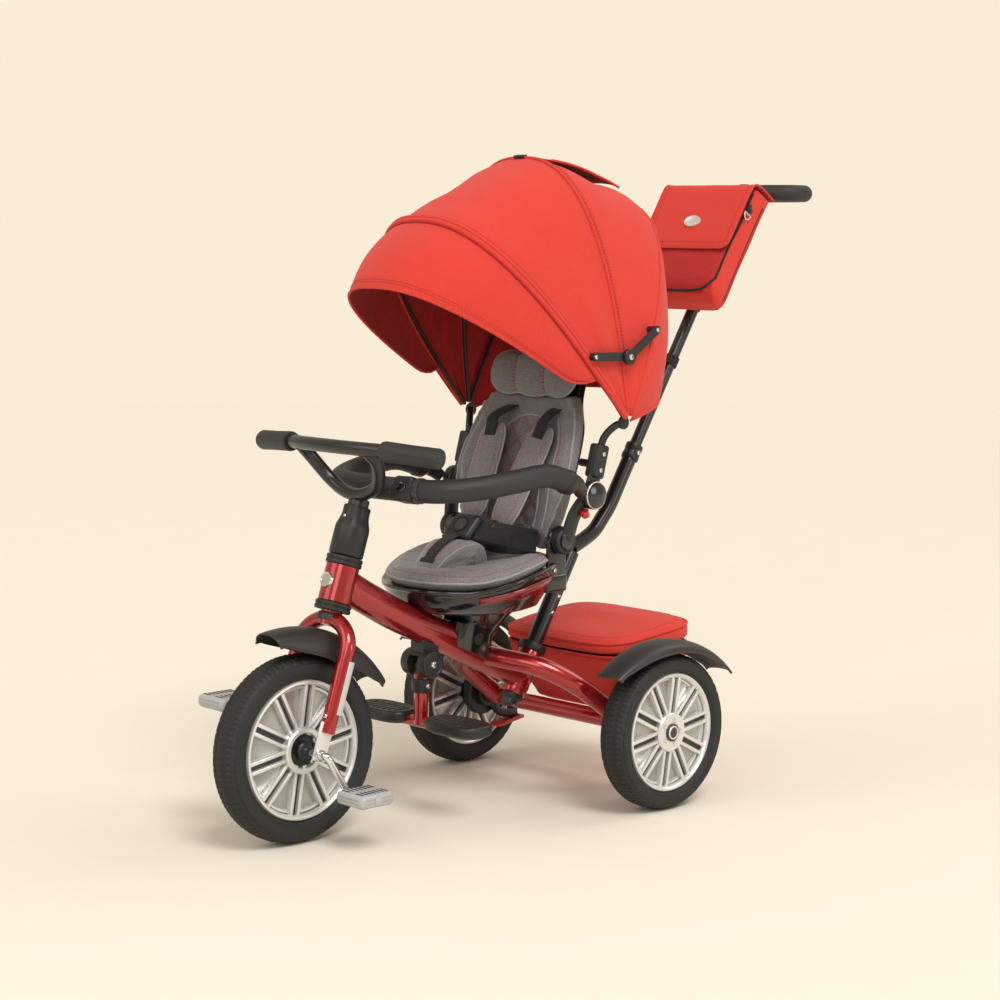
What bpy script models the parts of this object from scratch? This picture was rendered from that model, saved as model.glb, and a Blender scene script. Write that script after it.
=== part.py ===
# Push-along children's tricycle. Metres, +Z up, front wheel towards -Y, standing on z = 0.
# The symmetry plane of the frame is x = 0 and the rider's left is +X.
import math

import bmesh
import bpy
from mathutils import Matrix, Vector

# Driving dimensions
REAR_AXLE = Vector((0.0, 0.076, 0.130))
FRONT_HUB = Vector((0.0, -0.5105, 0.148))
FORK_OFFSET = 0.006
RAKE = math.radians(18.4)
REAR_TRACK_HALF = 0.239
TYRE_WIDTH = 0.054
FRONT_TYRE_R, FRONT_RIM_R = 0.148, 0.110
REAR_TYRE_R, REAR_RIM_R = 0.130, 0.0985
AXLE_R = 0.005
CRANK_R = 0.006
CRANK_LENGTH = 0.075
CRANK_X, SPINDLE_END = 0.078, 0.148
CRANK_ANGLE = math.radians(-57.0)
PEDAL_X = 0.120
PEDAL_SIZE = (0.066, 0.068, 0.022)
STEERER_R, HEAD_BORE_R, HEAD_R = 0.0165, 0.0185, 0.0265
FORK_LEG_X, FORK_LEG_R = 0.058, 0.0125
BAR_R, GRIP_R, GRIP_LENGTH = 0.011, 0.0160, 0.105
POST_R = 0.014
POST_FOOT, POST_TOP = Vector((0.0, -0.036, 0.170)), Vector((0.0, 0.1025, 0.401))
PUSH_R, PUSH_BORE_R, PUSH_UPPER_R = 0.0130, 0.0112, 0.0105
PUSH_CLAMP = Vector((0.0, 0.253, 0.564))
PUSH_DIR = Vector((0.0, 0.5327, 0.8464)).normalized()
HANDLE_CENTRE = Vector((0.0, 0.598, 1.020))
FOOTREST_PIVOT = Vector((0.0, -0.244, 0.250))
RECLINE_PIVOT = Vector((0.0, -0.054, 0.447))
CANOPY_PIVOT = Vector((0.0, 0.034, 0.639))
CANOPY_SKIN = 0.003
RING_PIVOT = Vector((0.168, -0.052, 0.530))
RING_R = 0.019
RELEASE = (Vector((0.1620, -0.036, 0.4975)), Vector((0.1620, -0.031, 0.4860)))
LID_HINGE = Vector((0.0, 0.062, 0.262))
GAP = 0.0003
STEER_BASE = FRONT_HUB + Vector((0.0, FORK_OFFSET, 0.0))

RED = (0.42, 0.012, 0.018)
BLACK = (0.02, 0.02, 0.022)
DARK = (0.05, 0.05, 0.052)
STEEL = (0.72, 0.72, 0.73)
GREY = (0.16, 0.155, 0.16)
CLOTH = (0.60, 0.045, 0.03)
TYRE = (0.015, 0.015, 0.015)
PEDAL = (0.42, 0.42, 0.43)


def makeCollection(name):
    collection = bpy.data.collections.new(name)
    bpy.context.scene.collection.children.link(collection)
    return collection


def makeMaterial(name, color, roughness, metallic):
    material = bpy.data.materials.new(name)
    material.use_nodes = True
    shader = material.node_tree.nodes["Principled BSDF"]
    shader.inputs["Base Color"].default_value = (*color, 1.0)
    shader.inputs["Roughness"].default_value = roughness
    shader.inputs["Metallic"].default_value = metallic
    return material


def addObject(name, data, material, collection=None, parent=None):
    obj = bpy.data.objects.new(name, data)
    (collection or tricycle).objects.link(obj)
    if material:
        data.materials.append(material)
    obj.parent = parent
    return obj


def addPivot(name, location, rotation=(0.0, 0.0, 0.0)):
    pivot = bpy.data.objects.new(name, None)
    tricycle.objects.link(pivot)
    pivot.location = location
    pivot.rotation_euler = rotation
    bpy.context.view_layer.update()
    return pivot


def shadeRound(mesh, angle=40.0):
    mesh.shade_smooth()
    mesh.set_sharp_from_angle(angle=math.radians(angle))


def asMesh(name, bm, material, collection=None, parent=None):
    mesh = bpy.data.meshes.new(name)
    bm.to_mesh(mesh)
    bm.free()
    shadeRound(mesh)
    return addObject(name, mesh, material, collection, parent)


def aim(direction):
    return Vector((0.0, 0.0, 1.0)).rotation_difference(Vector(direction)).to_matrix().to_4x4()


def rod(name, start, end, radius, material, segments=20, collection=None, parent=None, end_radius=None):
    start, end = Vector(start), Vector(end)
    bm = bmesh.new()
    bmesh.ops.create_cone(bm, cap_ends=True, segments=segments, radius1=radius,
                          radius2=radius if end_radius is None else end_radius, depth=(end - start).length)
    bmesh.ops.transform(bm, matrix=Matrix.Translation((start + end) / 2) @ aim(end - start), verts=bm.verts)
    return asMesh(name, bm, material, collection, parent)


def block(name, size, centre, material, rotation=(0.0, 0.0, 0.0), bevel=0.0, collection=None, parent=None):
    bm = bmesh.new()
    bmesh.ops.create_cube(bm, size=1.0)
    bmesh.ops.scale(bm, vec=size, verts=bm.verts)
    turn = Matrix.Rotation(rotation[2], 4, "Z") @ Matrix.Rotation(rotation[1], 4, "Y") \
        @ Matrix.Rotation(rotation[0], 4, "X")
    if bevel:
        bmesh.ops.bevel(bm, geom=bm.edges[:], offset=bevel, segments=2, affect="EDGES", profile=0.5)
    bmesh.ops.transform(bm, matrix=Matrix.Translation(centre) @ turn, verts=bm.verts)
    return asMesh(name, bm, material, collection, parent)


def tube(name, points, radius, material, sides=10, steps=0, cyclic=False, flatten=None, parent=None):
    """A round tube through the points; steps > 0 smooths the path. Returned as a closed mesh."""
    path = smoothPath([Vector(p) for p in points], steps, cyclic) if steps else [Vector(p) for p in points]
    curve = bpy.data.curves.new(name, "CURVE")
    curve.dimensions = "3D"
    curve.bevel_depth = radius
    curve.bevel_resolution = sides // 2 - 2
    curve.use_fill_caps = not cyclic
    spline = curve.splines.new("POLY")
    spline.points.add(len(path) - 1)
    for point, place in zip(spline.points, path):
        point.co = (*place, 1.0)
    spline.use_cyclic_u = cyclic
    helper = bpy.data.objects.new(name + "_path", curve)
    bpy.context.scene.collection.objects.link(helper)
    bpy.context.view_layer.update()
    mesh = bpy.data.meshes.new_from_object(helper.evaluated_get(bpy.context.evaluated_depsgraph_get()))
    bpy.data.objects.remove(helper)
    bm = bmesh.new()
    bm.from_mesh(mesh)
    bmesh.ops.remove_doubles(bm, verts=bm.verts, dist=0.00001)
    bmesh.ops.recalc_face_normals(bm, faces=bm.faces)
    if flatten:
        bmesh.ops.scale(bm, vec=flatten, verts=bm.verts)
    bpy.data.meshes.remove(mesh)
    mesh = bpy.data.meshes.new(name)
    bm.to_mesh(mesh)
    bm.free()
    shadeRound(mesh)
    return addObject(name, mesh, material, None, parent)


def smoothPath(points, steps, cyclic=False):
    """Catmull-Rom samples through the points."""
    count = len(points)
    result = []
    spans = count if cyclic else count - 1
    for i in range(spans):
        if cyclic:
            p0, p1, p2, p3 = (points[(i + k - 1) % count] for k in range(4))
        else:
            p1, p2 = points[i], points[i + 1]
            p0 = points[i - 1] if i else p1 + (p1 - p2)
            p3 = points[i + 2] if i + 2 < count else p2 + (p2 - p1)
        for k in range(steps):
            t = k / steps
            result.append(0.5 * ((2 * p1) + (p2 - p0) * t + (2 * p0 - 5 * p1 + 4 * p2 - p3) * t * t
                                 + (3 * p1 - p0 - 3 * p2 + p3) * t ** 3))
    if not cyclic:
        result.append(points[-1])
    return result


def turned(name, profile, material, steps=32, closed=True, matrix=None, collection=None, parent=None):
    """Profile (radius, height) pairs run down the outer side; closed profiles return up the inner side."""
    mesh = bpy.data.meshes.new(name)
    verts = [(r, 0.0, h) for r, h in profile]
    edges = [(i, i + 1) for i in range(len(verts) - 1)]
    if closed:
        edges.append((len(verts) - 1, 0))
    mesh.from_pydata(verts, edges, [])
    obj = addObject(name, mesh, material, collection, parent)
    screw = obj.modifiers.new("turn", "SCREW")
    screw.steps = screw.render_steps = steps
    screw.use_merge_vertices = True
    screw.merge_threshold = 0.00005
    screw.use_smooth_shade = True
    if matrix is not None:
        obj.matrix_local = matrix
    return obj


def freeze(obj):
    """Applies the modifiers and the object's own transform into its mesh."""
    bpy.context.view_layer.update()
    mesh = bpy.data.meshes.new_from_object(obj.evaluated_get(bpy.context.evaluated_depsgraph_get()))
    mesh.transform(obj.matrix_basis)
    obj.modifiers.clear()
    obj.data = mesh
    obj.matrix_basis = Matrix.Identity(4)
    bpy.context.view_layer.update()
    return obj


def combine(obj, others, operation):
    """Boolean with helper objects, which are used up."""
    for other in others:
        modifier = obj.modifiers.new(operation.lower(), "BOOLEAN")
        modifier.operation = operation
        modifier.solver = "EXACT"
        modifier.object = other
        freeze(obj)
        bpy.data.objects.remove(other)
    bm = bmesh.new()
    bm.from_mesh(obj.data)
    bmesh.ops.remove_doubles(bm, verts=bm.verts, dist=0.00001)
    bmesh.ops.dissolve_degenerate(bm, dist=0.00001, edges=bm.edges)
    bm.to_mesh(obj.data)
    bm.free()
    shadeRound(obj.data)
    return obj


def loft(name, rows, material, cap=True, close=True, parent=None):
    """A skin over rows of equal length; each row is a closed loop when close is set."""
    bm = bmesh.new()
    rings = [[bm.verts.new(p) for p in row] for row in rows]
    count = len(rows[0])
    for a, b in zip(rings, rings[1:]):
        for i in range(count if close else count - 1):
            j = (i + 1) % count
            bm.faces.new((a[i], a[j], b[j], b[i]))
    if cap:
        bm.faces.new(rings[0][::-1])
        bm.faces.new(rings[-1])
    bmesh.ops.recalc_face_normals(bm, faces=bm.faces)
    return asMesh(name, bm, material, None, parent)


def thicken(obj, thickness, offset=-1.0):
    solid = obj.modifiers.new("skin", "SOLIDIFY")
    solid.thickness = thickness
    solid.offset = offset
    solid.use_even_offset = True
    return obj


def ellipse(centre, half_x, half_y, count, power=2.0, z=0.0, lift=None):
    """Points of a superellipse in a level plane; lift(x, y) raises each point."""
    ring = []
    for i in range(count):
        angle = 2.0 * math.pi * i / count
        c, s = math.cos(angle), math.sin(angle)
        x = centre[0] + half_x * math.copysign(abs(c) ** (2.0 / power), c)
        y = centre[1] + half_y * math.copysign(abs(s) ** (2.0 / power), s)
        ring.append(Vector((x, y, z + (lift(x, y) if lift else 0.0))))
    return ring


def sides():
    return (("left", 1.0), ("right", -1.0))


# Frame: head tube, oval main tube, two rear arms, axle tube and the socket of the push post.
MAIN_TUBE = [(0.0, -0.405, 0.392), (0.0, -0.360, 0.366), (0.0, -0.300, 0.334), (0.0, -0.214, 0.2945),
             (0.0, -0.141, 0.2605), (0.0, -0.085, 0.235), (0.0, -0.018, 0.2037)]
MAIN_TUBE_R = 0.0265
ARM_R = 0.0165
MAIN_TUBE_FLATTEN = (0.83, 1.0, 1.0)
ARM_PATH = [(0.006, -0.112, 0.248), (0.050, -0.098, 0.244), (0.100, -0.067, 0.233),
            (0.137, -0.025, 0.205), (0.150, 0.030, 0.165), (0.150, 0.076, 0.131)]


def onSteering(height, forward=0.0):
    """A world point on the steering axis at a height measured along it from the hub."""
    return STEER_BASE + Vector((0.0, math.sin(RAKE) * height - forward * math.cos(RAKE),
                               math.cos(RAKE) * height + forward * math.sin(RAKE)))


def postPoint(z):
    direction = (POST_TOP - POST_FOOT).normalized()
    return POST_FOOT + direction * ((z - POST_FOOT.z) / direction.z)


def buildFrame():
    frame = rod("frame", onSteering(0.233), onSteering(0.2922), HEAD_R, paintRed, segments=24)
    parts = [tube("main_tube", MAIN_TUBE, MAIN_TUBE_R, paintRed, sides=16, steps=2, flatten=MAIN_TUBE_FLATTEN)]
    for side, sign in sides():
        path = [(sign * x, y, z) for x, y, z in ARM_PATH]
        parts.append(tube("arm_" + side, path, ARM_R, paintRed, sides=12, steps=2))
    parts.append(rod("axle_tube", (-0.1825, REAR_AXLE.y, REAR_AXLE.z), (0.1825, REAR_AXLE.y, REAR_AXLE.z),
                     0.0145, paintRed, segments=20))
    parts.append(rod("post_socket", postPoint(0.182), postPoint(0.238), 0.0215, paintRed, segments=24))
    combine(frame, parts, "UNION")
    bores = [rod("head_bore", onSteering(0.2), onSteering(0.34), HEAD_BORE_R, None, segments=24),
             rod("post_bore", postPoint(0.10), postPoint(0.30), POST_R + GAP, None, segments=20),
             rod("axle_bore", (-0.2, REAR_AXLE.y, REAR_AXLE.z), (0.2, REAR_AXLE.y, REAR_AXLE.z),
                 AXLE_R + GAP, None, segments=12)]
    combine(frame, bores, "DIFFERENCE")
    turn = Matrix.Rotation(-RAKE, 4, "X")
    profile = [(0.0290, 0.014), (0.0290, 0.0), (HEAD_BORE_R, 0.0), (HEAD_BORE_R, 0.014)]
    turned("headset_ring_lower", profile, plasticBlack, steps=20,
           matrix=Matrix.Translation(onSteering(0.2187)) @ turn)
    turned("headset_ring_upper", profile, plasticBlack, steps=20,
           matrix=Matrix.Translation(onSteering(0.2925)) @ turn)
    rod("rear_axle", (-0.261, REAR_AXLE.y, REAR_AXLE.z), (0.261, REAR_AXLE.y, REAR_AXLE.z), AXLE_R, steel,
        segments=12)
    rod("push_post", postPoint(0.152), POST_TOP, POST_R, paintBlack, segments=20)


def buildFootrest():
    pivot = addPivot("footrest_pivot", FOOTREST_PIVOT)
    hinge = rod("footrest_hinge", FOOTREST_PIVOT - Vector((0.027, 0.0, 0.0)),
                FOOTREST_PIVOT + Vector((0.027, 0.0, 0.0)), 0.0225, plasticBlack, segments=28)
    neck = block("neck", (0.030, 0.034, 0.030), FOOTREST_PIVOT + Vector((0.0, 0.006, 0.026)), None)
    combine(hinge, [neck], "UNION")
    clearance = tube("clearance", MAIN_TUBE, MAIN_TUBE_R + 2 * GAP, None, sides=16, steps=2,
                     flatten=MAIN_TUBE_FLATTEN)
    combine(hinge, [clearance], "DIFFERENCE")
    slot = block("slot", (0.0226, 0.080, 0.0520), (0.0, FOOTREST_PIVOT.y, FOOTREST_PIVOT.z - 0.0120), None)
    combine(hinge, [slot], "DIFFERENCE")
    arm = rod("footrest_arm", (0.0, 0.0, -0.030), (0.0, -0.001, -0.100), 0.0125, paintRed, segments=18,
              parent=pivot)
    parts = [block("ear", (0.0220, 0.022, 0.034), (0.0, 0.0, -0.016), None, bevel=0.003),
             rod("collar", (0.0, 0.0, -0.026), (0.0, 0.0, -0.048), 0.0165, None, segments=18),
             rod("cross", (-0.060, -0.001, -0.098), (0.060, -0.001, -0.098), 0.0095, None, segments=14)]
    for part in parts:
        part.parent = pivot
    combine(arm, parts, "UNION")
    for side, sign in sides():
        pad = asMesh("foot_pad_" + side, padForm(0.060, 0.036, 0.022), plasticBlack, None, pivot)
        pad.location = (sign * 0.087, 0.0, -0.094)
        freeze(pad)
        bore = rod("cross_bore", (sign * 0.02, -0.001, -0.098), (sign * 0.0605, -0.001, -0.098), 0.0099, None,
                   segments=14, parent=pivot)
        combine(pad, [bore], "DIFFERENCE")


def padForm(half_x, half_y, height):
    """A rounded plate, level top and bottom."""
    bm = bmesh.new()
    loops = []
    for z, grow in ((-height / 2, -0.004), (-height / 4, 0.0), (height / 4, 0.0), (height / 2, -0.003)):
        ring = ellipse((0.0, 0.0), half_x + grow, half_y + grow, 20, power=3.2, z=z)
        loops.append([bm.verts.new(p) for p in ring])
    for a, b in zip(loops, loops[1:]):
        for i in range(len(a)):
            j = (i + 1) % len(a)
            bm.faces.new((a[i], a[j], b[j], b[i]))
    bm.faces.new(loops[0][::-1])
    bm.faces.new(loops[-1])
    return bm


# Steering: everything that turns with the fork is placed under one pivot on the steering axis.
def buildSteering():
    pivot = addPivot("steering_pivot", STEER_BASE, (-RAKE, 0.0, 0.0))
    toLocal = pivot.matrix_world.inverted()
    leg, r = FORK_LEG_X, FORK_LEG_R
    half = [(leg, 0.0, 0.034), (leg, 0.0, 0.160)]
    arc = [(leg * math.cos(a), 0.0, 0.160 + 0.047 * math.sin(a))
           for a in (math.radians(18 * k) for k in range(1, 10))]
    path = half + arc + [(-leg, 0.0, 0.160), (-leg, 0.0, 0.034)]
    fork = tube("fork", path, r, paintRed, sides=12, parent=pivot)
    parts = [rod("steerer", (0.0, 0.0, 0.200), (0.0, 0.0, 0.330), STEERER_R, None, segments=24)]
    for sign in (1.0, -1.0):
        parts.append(block("dropout", (0.006, 0.028, 0.064), (sign * leg, -FORK_OFFSET / 2, 0.018), None,
                           bevel=0.0015))
    for part in parts:
        part.parent = pivot
    combine(fork, parts, "UNION")
    hub = toLocal @ FRONT_HUB
    bore = rod("axle_hole", hub - Vector((0.08, 0.0, 0.0)), hub + Vector((0.08, 0.0, 0.0)), CRANK_R + GAP, None,
               segments=14, parent=pivot)
    combine(fork, [bore], "DIFFERENCE")
    sleeve = [(0.0215, 0.388), (0.0215, 0.372), (0.0240, 0.364), (0.0275, 0.352), (0.0275, 0.3080),
              (0.0172, 0.3080), (0.0172, 0.388)]
    turned("steering_sleeve", sleeve, plasticBlack, steps=20, parent=pivot)
    buildHandlebar(pivot, toLocal)


def buildHandlebar(pivot, toLocal):
    ends = [Vector((sign * 0.212, -0.401, 0.608)) for sign in (1.0, -1.0)]
    inner = [Vector((sign * 0.111, -0.425, 0.614)) for sign in (1.0, -1.0)]
    dirs = [(e - i).normalized() for e, i in zip(ends, inner)]
    path = [ends[0] - dirs[0] * 0.006, inner[0], Vector((0.060, -0.438, 0.6155)), Vector((0.0, -0.443, 0.616)),
            Vector((-0.060, -0.438, 0.6155)), inner[1], ends[1] - dirs[1] * 0.006]
    bar = tube("handlebar", [toLocal @ p for p in path], BAR_R, paintBlack, sides=12, parent=pivot)
    brace = [(0.080, -0.432, 0.612), (0.078, -0.410, 0.590), (0.056, -0.390, 0.556), (0.020, -0.387, 0.538),
             (-0.020, -0.387, 0.538), (-0.056, -0.390, 0.556), (-0.078, -0.410, 0.590),
             (-0.080, -0.432, 0.612)]
    parts = [tube("brace", [toLocal @ Vector(p) for p in brace], 0.0105, None, sides=10, steps=2, parent=pivot),
             rod("stem", (0.0, 0.0, 0.3310), (0.0, 0.0, 0.400), 0.0168, None, segments=24, parent=pivot)]
    combine(bar, parts, "UNION")
    for (side, sign), end, direction in zip(sides(), ends, dirs):
        length = GRIP_LENGTH
        profile = [(0.0, 0.0), (GRIP_R - 0.002, 0.0), (GRIP_R, -0.002), (GRIP_R, -length),
                   (BAR_R + GAP, -length), (BAR_R + GAP, -0.0055), (0.0, -0.0055)]
        place = toLocal @ (Matrix.Translation(end) @ aim(direction))
        turned("grip_" + side, profile, foam, steps=18, closed=False, matrix=place, parent=pivot)


def wheelMatrix(x):
    return Matrix.Translation((x, 0.0, 0.0)) @ Matrix.Rotation(math.radians(90.0), 4, "Y")


def tyreProfile(outer, inner, width):
    w = width / 2
    middle = inner + (outer - inner) * 0.55
    return [(inner, w * 0.62), (middle, w), (outer - 0.008, w * 0.86), (outer, w * 0.35), (outer, -w * 0.35),
            (outer - 0.008, -w * 0.86), (middle, -w), (inner, -w * 0.62)]


def rimProfile(outer, bore, width, hub_r, hub_half):
    """A dished disc: broad lip, thin web and a hub, with the axle bore through it."""
    w = width / 2
    return [(bore, hub_half), (hub_r, hub_half), (hub_r + 0.004, 0.006), (outer - 0.010, 0.006), (outer, w),
            (outer, -w), (outer - 0.010, -0.006), (hub_r + 0.004, -0.006), (hub_r, -hub_half),
            (bore, -hub_half)]


def buildFrontWheel():
    pivot = addPivot("front_wheel_pivot", FRONT_HUB)
    turned("front_tyre", tyreProfile(FRONT_TYRE_R, FRONT_RIM_R, TYRE_WIDTH), rubber, steps=28,
           matrix=wheelMatrix(0.0), parent=pivot)
    turned("front_rim", rimProfile(FRONT_RIM_R - GAP, CRANK_R + GAP, 0.032, 0.028, 0.036), alloy, steps=28,
           matrix=wheelMatrix(0.0), parent=pivot)
    down = Vector((0.0, math.cos(CRANK_ANGLE), math.sin(CRANK_ANGLE)))
    arm = down * CRANK_LENGTH
    points = [Vector((SPINDLE_END, 0, 0)) + arm, Vector((CRANK_X + 0.0055, 0, 0)) + arm,
              Vector((CRANK_X, 0, 0)) + arm - down * 0.006, Vector((CRANK_X, 0, 0)) + down * 0.006,
              Vector((CRANK_X - 0.0055, 0, 0))]
    path = points + [-p for p in reversed(points)]
    tube("crank", path, CRANK_R, steel, sides=12, parent=pivot)
    for side, sign in sides():
        centre = FRONT_HUB + sign * (arm + Vector((PEDAL_X, 0.0, 0.0)))
        hub = addPivot("pedal_pivot_" + side, centre)
        pedal = block("pedal_" + side, PEDAL_SIZE, (0.0, 0.0, 0.0), pedalGrey, bevel=0.0045, parent=hub)
        bore = rod("spindle_bore", (sign * -0.05, 0, 0), (sign * (SPINDLE_END - PEDAL_X + GAP), 0, 0),
                   CRANK_R + 2 * GAP, None, segments=12, parent=hub)
        combine(pedal, [bore], "DIFFERENCE")


def fenderRows(centre, radius, half_width, drop, start, end, count, flare=0.0, x=0.0):
    """Rows across a mudguard: each row runs over the tyre from one side edge to the other."""
    rows = []
    for i in range(count):
        t = i / (count - 1)
        angle = start + (end - start) * t
        bulge = flare * abs(2 * t - 1) ** 2
        pinch = math.sin(math.pi * min(max(t, 0.04), 0.96)) ** 0.35
        row = []
        for k in range(7):
            u = -1 + 2 * k / 6
            depth = (1 - math.sqrt(max(0.0, 1 - min(abs(u), 1.0) ** 2.2))) * drop * pinch
            r = radius + bulge - depth
            row.append(Vector((x + u * half_width * (0.55 + 0.45 * pinch),
                               centre.y + math.sin(angle) * r, centre.z + math.cos(angle) * r)))
        rows.append(row)
    return rows


def buildMudguards():
    front = loft("front_fender", fenderRows(FRONT_HUB, 0.1895, 0.0405, 0.030, math.radians(-17), math.radians(62),
                                            10, flare=0.006), plasticDark, cap=False, close=False)
    thicken(front, 0.0022)
    freeze(front)
    steering = bpy.data.objects["steering_pivot"]
    front.parent = steering
    front.matrix_parent_inverse = steering.matrix_world.inverted()
    for side, sign in sides():
        name = "rear_fender_" + side
        rows = fenderRows(REAR_AXLE, 0.1530, 0.0360, 0.018, math.radians(-52), math.radians(60), 9,
                          flare=0.020, x=sign * REAR_TRACK_HALF)
        guard = thicken(loft(name, rows, plasticDark, cap=False, close=False), 0.0024)
        freeze(guard)
        stay = block("stay", (0.003, 0.024, 0.152), (sign * 0.2065, REAR_AXLE.y - 0.010, REAR_AXLE.z + 0.063),
                     None, rotation=(math.radians(6.0), 0.0, 0.0))
        combine(guard, [stay], "UNION")
        hole = rod("hole", (sign * 0.19, REAR_AXLE.y, REAR_AXLE.z), (sign * 0.22, REAR_AXLE.y, REAR_AXLE.z),
                   AXLE_R + GAP, None, segments=14)
        combine(guard, [hole], "DIFFERENCE")


def buildRearWheels():
    for side, sign in sides():
        pivot = addPivot("rear_wheel_pivot_" + side, REAR_AXLE + Vector((sign * REAR_TRACK_HALF, 0.0, 0.0)))
        turned("rear_tyre_" + side, tyreProfile(REAR_TYRE_R, REAR_RIM_R, TYRE_WIDTH), rubber, steps=26,
               matrix=wheelMatrix(0.0), parent=pivot)
        turned("rear_rim_" + side, rimProfile(REAR_RIM_R - GAP, AXLE_R + GAP, 0.032, 0.024, 0.0225), alloy,
               steps=26, matrix=wheelMatrix(0.0), parent=pivot)
        turned("brake_housing_" + side,
               [(0.036, 0.0095), (0.0385, 0.006), (0.0385, -0.006), (0.036, -0.0095),
                (AXLE_R + GAP, -0.0095), (AXLE_R + GAP, 0.0095)],
               plasticBlack, steps=22,
               matrix=Matrix.Translation((sign * 0.1930, REAR_AXLE.y, REAR_AXLE.z)) @ wheelMatrix(0.0))
        lever = turned("brake_lever_" + side, [(0.0215, 0.005), (0.0215, -0.005), (0.0150, -0.005),
                                               (0.0150, 0.005)], plasticBlack, steps=16,
                       matrix=Matrix.Translation((sign * 0.1760, REAR_AXLE.y, REAR_AXLE.z)) @ wheelMatrix(0.0))
        freeze(lever)
        arm = tube("lever_arm", [(sign * 0.176, REAR_AXLE.y + 0.010, REAR_AXLE.z - 0.0165),
                                 (sign * 0.176, REAR_AXLE.y + 0.028, REAR_AXLE.z - 0.036),
                                 (sign * 0.176, REAR_AXLE.y + 0.066, REAR_AXLE.z - 0.044)], 0.0075, None, sides=8)
        plate = block("lever_plate", (0.026, 0.066, 0.007),
                      (sign * 0.176, REAR_AXLE.y + 0.048, REAR_AXLE.z - 0.054), None,
                      rotation=(math.radians(8.0), 0.0, 0.0), bevel=0.002)
        combine(lever, [arm, plate], "UNION")


# Seat base
def seatLift(x, y):
    """Height of the seat's upper edge over its front: the sides and the back sweep up."""
    back = max(0.0, (y + 0.24) / 0.22)
    return 0.045 * (abs(x) / 0.15) ** 2 * min(back, 1.0) + 0.010 * back


def seatRing(scale_x, scale_y, z, lift=None, count=20):
    """The seat's plan: narrower at the front than at the back."""
    ring = []
    for p in ellipse((0.0, -0.150), 0.150 * scale_x, 0.135 * scale_y, count, power=2.5):
        narrow = 1.0 - 0.30 * max(0.0, (-0.150 - p.y) / 0.135) ** 1.5
        x = p.x * narrow
        ring.append(Vector((x, p.y, z + (lift(x, p.y) if lift else 0.0))))
    return ring


def buildSeat():
    rows = [seatRing(0.60, 0.66, 0.3330), seatRing(0.74, 0.80, 0.3380), seatRing(0.97, 0.97, 0.3700, seatLift),
            seatRing(1.00, 1.00, 0.3760, seatLift), seatRing(0.93, 0.93, 0.3745, seatLift),
            seatRing(0.50, 0.50, 0.3745, seatLift), seatRing(0.12, 0.12, 0.3745, seatLift)]
    shell = loft("seat_shell", rows, plasticGloss)
    for side, sign in sides():
        ear = rod("ear", (sign * 0.1180, RECLINE_PIVOT.y, RECLINE_PIVOT.z),
                  (sign * 0.1260, RECLINE_PIVOT.y, RECLINE_PIVOT.z), 0.0230, None, segments=20)
        strut = block("strut", (0.0076, 0.042, 0.084), (sign * 0.1220, RECLINE_PIVOT.y - 0.006, 0.4060), None)
        foot = block("foot", (0.026, 0.046, 0.030), (sign * 0.1150, RECLINE_PIVOT.y - 0.006, 0.3760), None,
                     bevel=0.003)
        combine(ear, [strut, foot], "UNION")
        combine(shell, [ear], "UNION")
    rows = [seatRing(0.12, 0.12, 0.3775, seatLift), seatRing(0.50, 0.50, 0.3775, seatLift),
            seatRing(0.90, 0.90, 0.3770, seatLift), seatRing(0.97, 0.985, 0.3850, seatLift),
            seatRing(0.95, 0.96, 0.3930, seatLift), seatRing(0.80, 0.84, 0.3985, seatLift),
            seatRing(0.40, 0.45, 0.3960, seatLift)]
    pad = loft("seat_pad", rows, wool)
    room = [block("ear_room", (0.060, 0.120, 0.14), (sign * 0.1300, RECLINE_PIVOT.y + 0.026, 0.416), None)
            for sign in (1.0, -1.0)]
    combine(pad, room, "DIFFERENCE")
    pedestal = loft("seat_pedestal", [
        ellipse((0.0, -0.150), 0.034, 0.040, 20, power=3.5, z=0.2560, lift=lambda x, y: -(y + 0.150) * 0.46),
        ellipse((0.0, -0.145), 0.034, 0.040, 20, power=3.5, z=0.2950, lift=lambda x, y: -(y + 0.145) * 0.46),
        ellipse((0.0, -0.125), 0.042, 0.048, 20, power=3.5, z=0.3120),
        ellipse((0.0, -0.125), 0.062, 0.066, 20, power=3.5, z=0.3327)], plasticGloss)
    tube_room = tube("tube_room", MAIN_TUBE, MAIN_TUBE_R + 2 * GAP, None, sides=16, steps=2,
                     flatten=MAIN_TUBE_FLATTEN)
    arm_rooms = [tube("arm_room", [(sign * x, y, z) for x, y, z in ARM_PATH], ARM_R + 2 * GAP, None, sides=12,
                      steps=2) for _, sign in sides()]
    shell_room = tube("tube_room", MAIN_TUBE, MAIN_TUBE_R + 4 * GAP, None, sides=16, steps=2,
                      flatten=MAIN_TUBE_FLATTEN)
    combine(pedestal, [tube_room] + arm_rooms, "DIFFERENCE")
    keepLargest(pedestal)
    combine(shell, [shell_room], "DIFFERENCE")


def keepLargest(obj):
    """Drops any loose offcut that a cut leaves, keeping the biggest body."""
    bm = bmesh.new()
    bm.from_mesh(obj.data)
    seen, groups = set(), []
    for start in bm.verts:
        if start in seen:
            continue
        stack, group = [start], []
        seen.add(start)
        while stack:
            vert = stack.pop()
            group.append(vert)
            for edge in vert.link_edges:
                other = edge.other_vert(vert)
                if other not in seen:
                    seen.add(other)
                    stack.append(other)
        groups.append(group)
    groups.sort(key=len)
    for group in groups[:-1]:
        bmesh.ops.delete(bm, geom=group, context="VERTS")
    bm.to_mesh(obj.data)
    bm.free()


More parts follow.
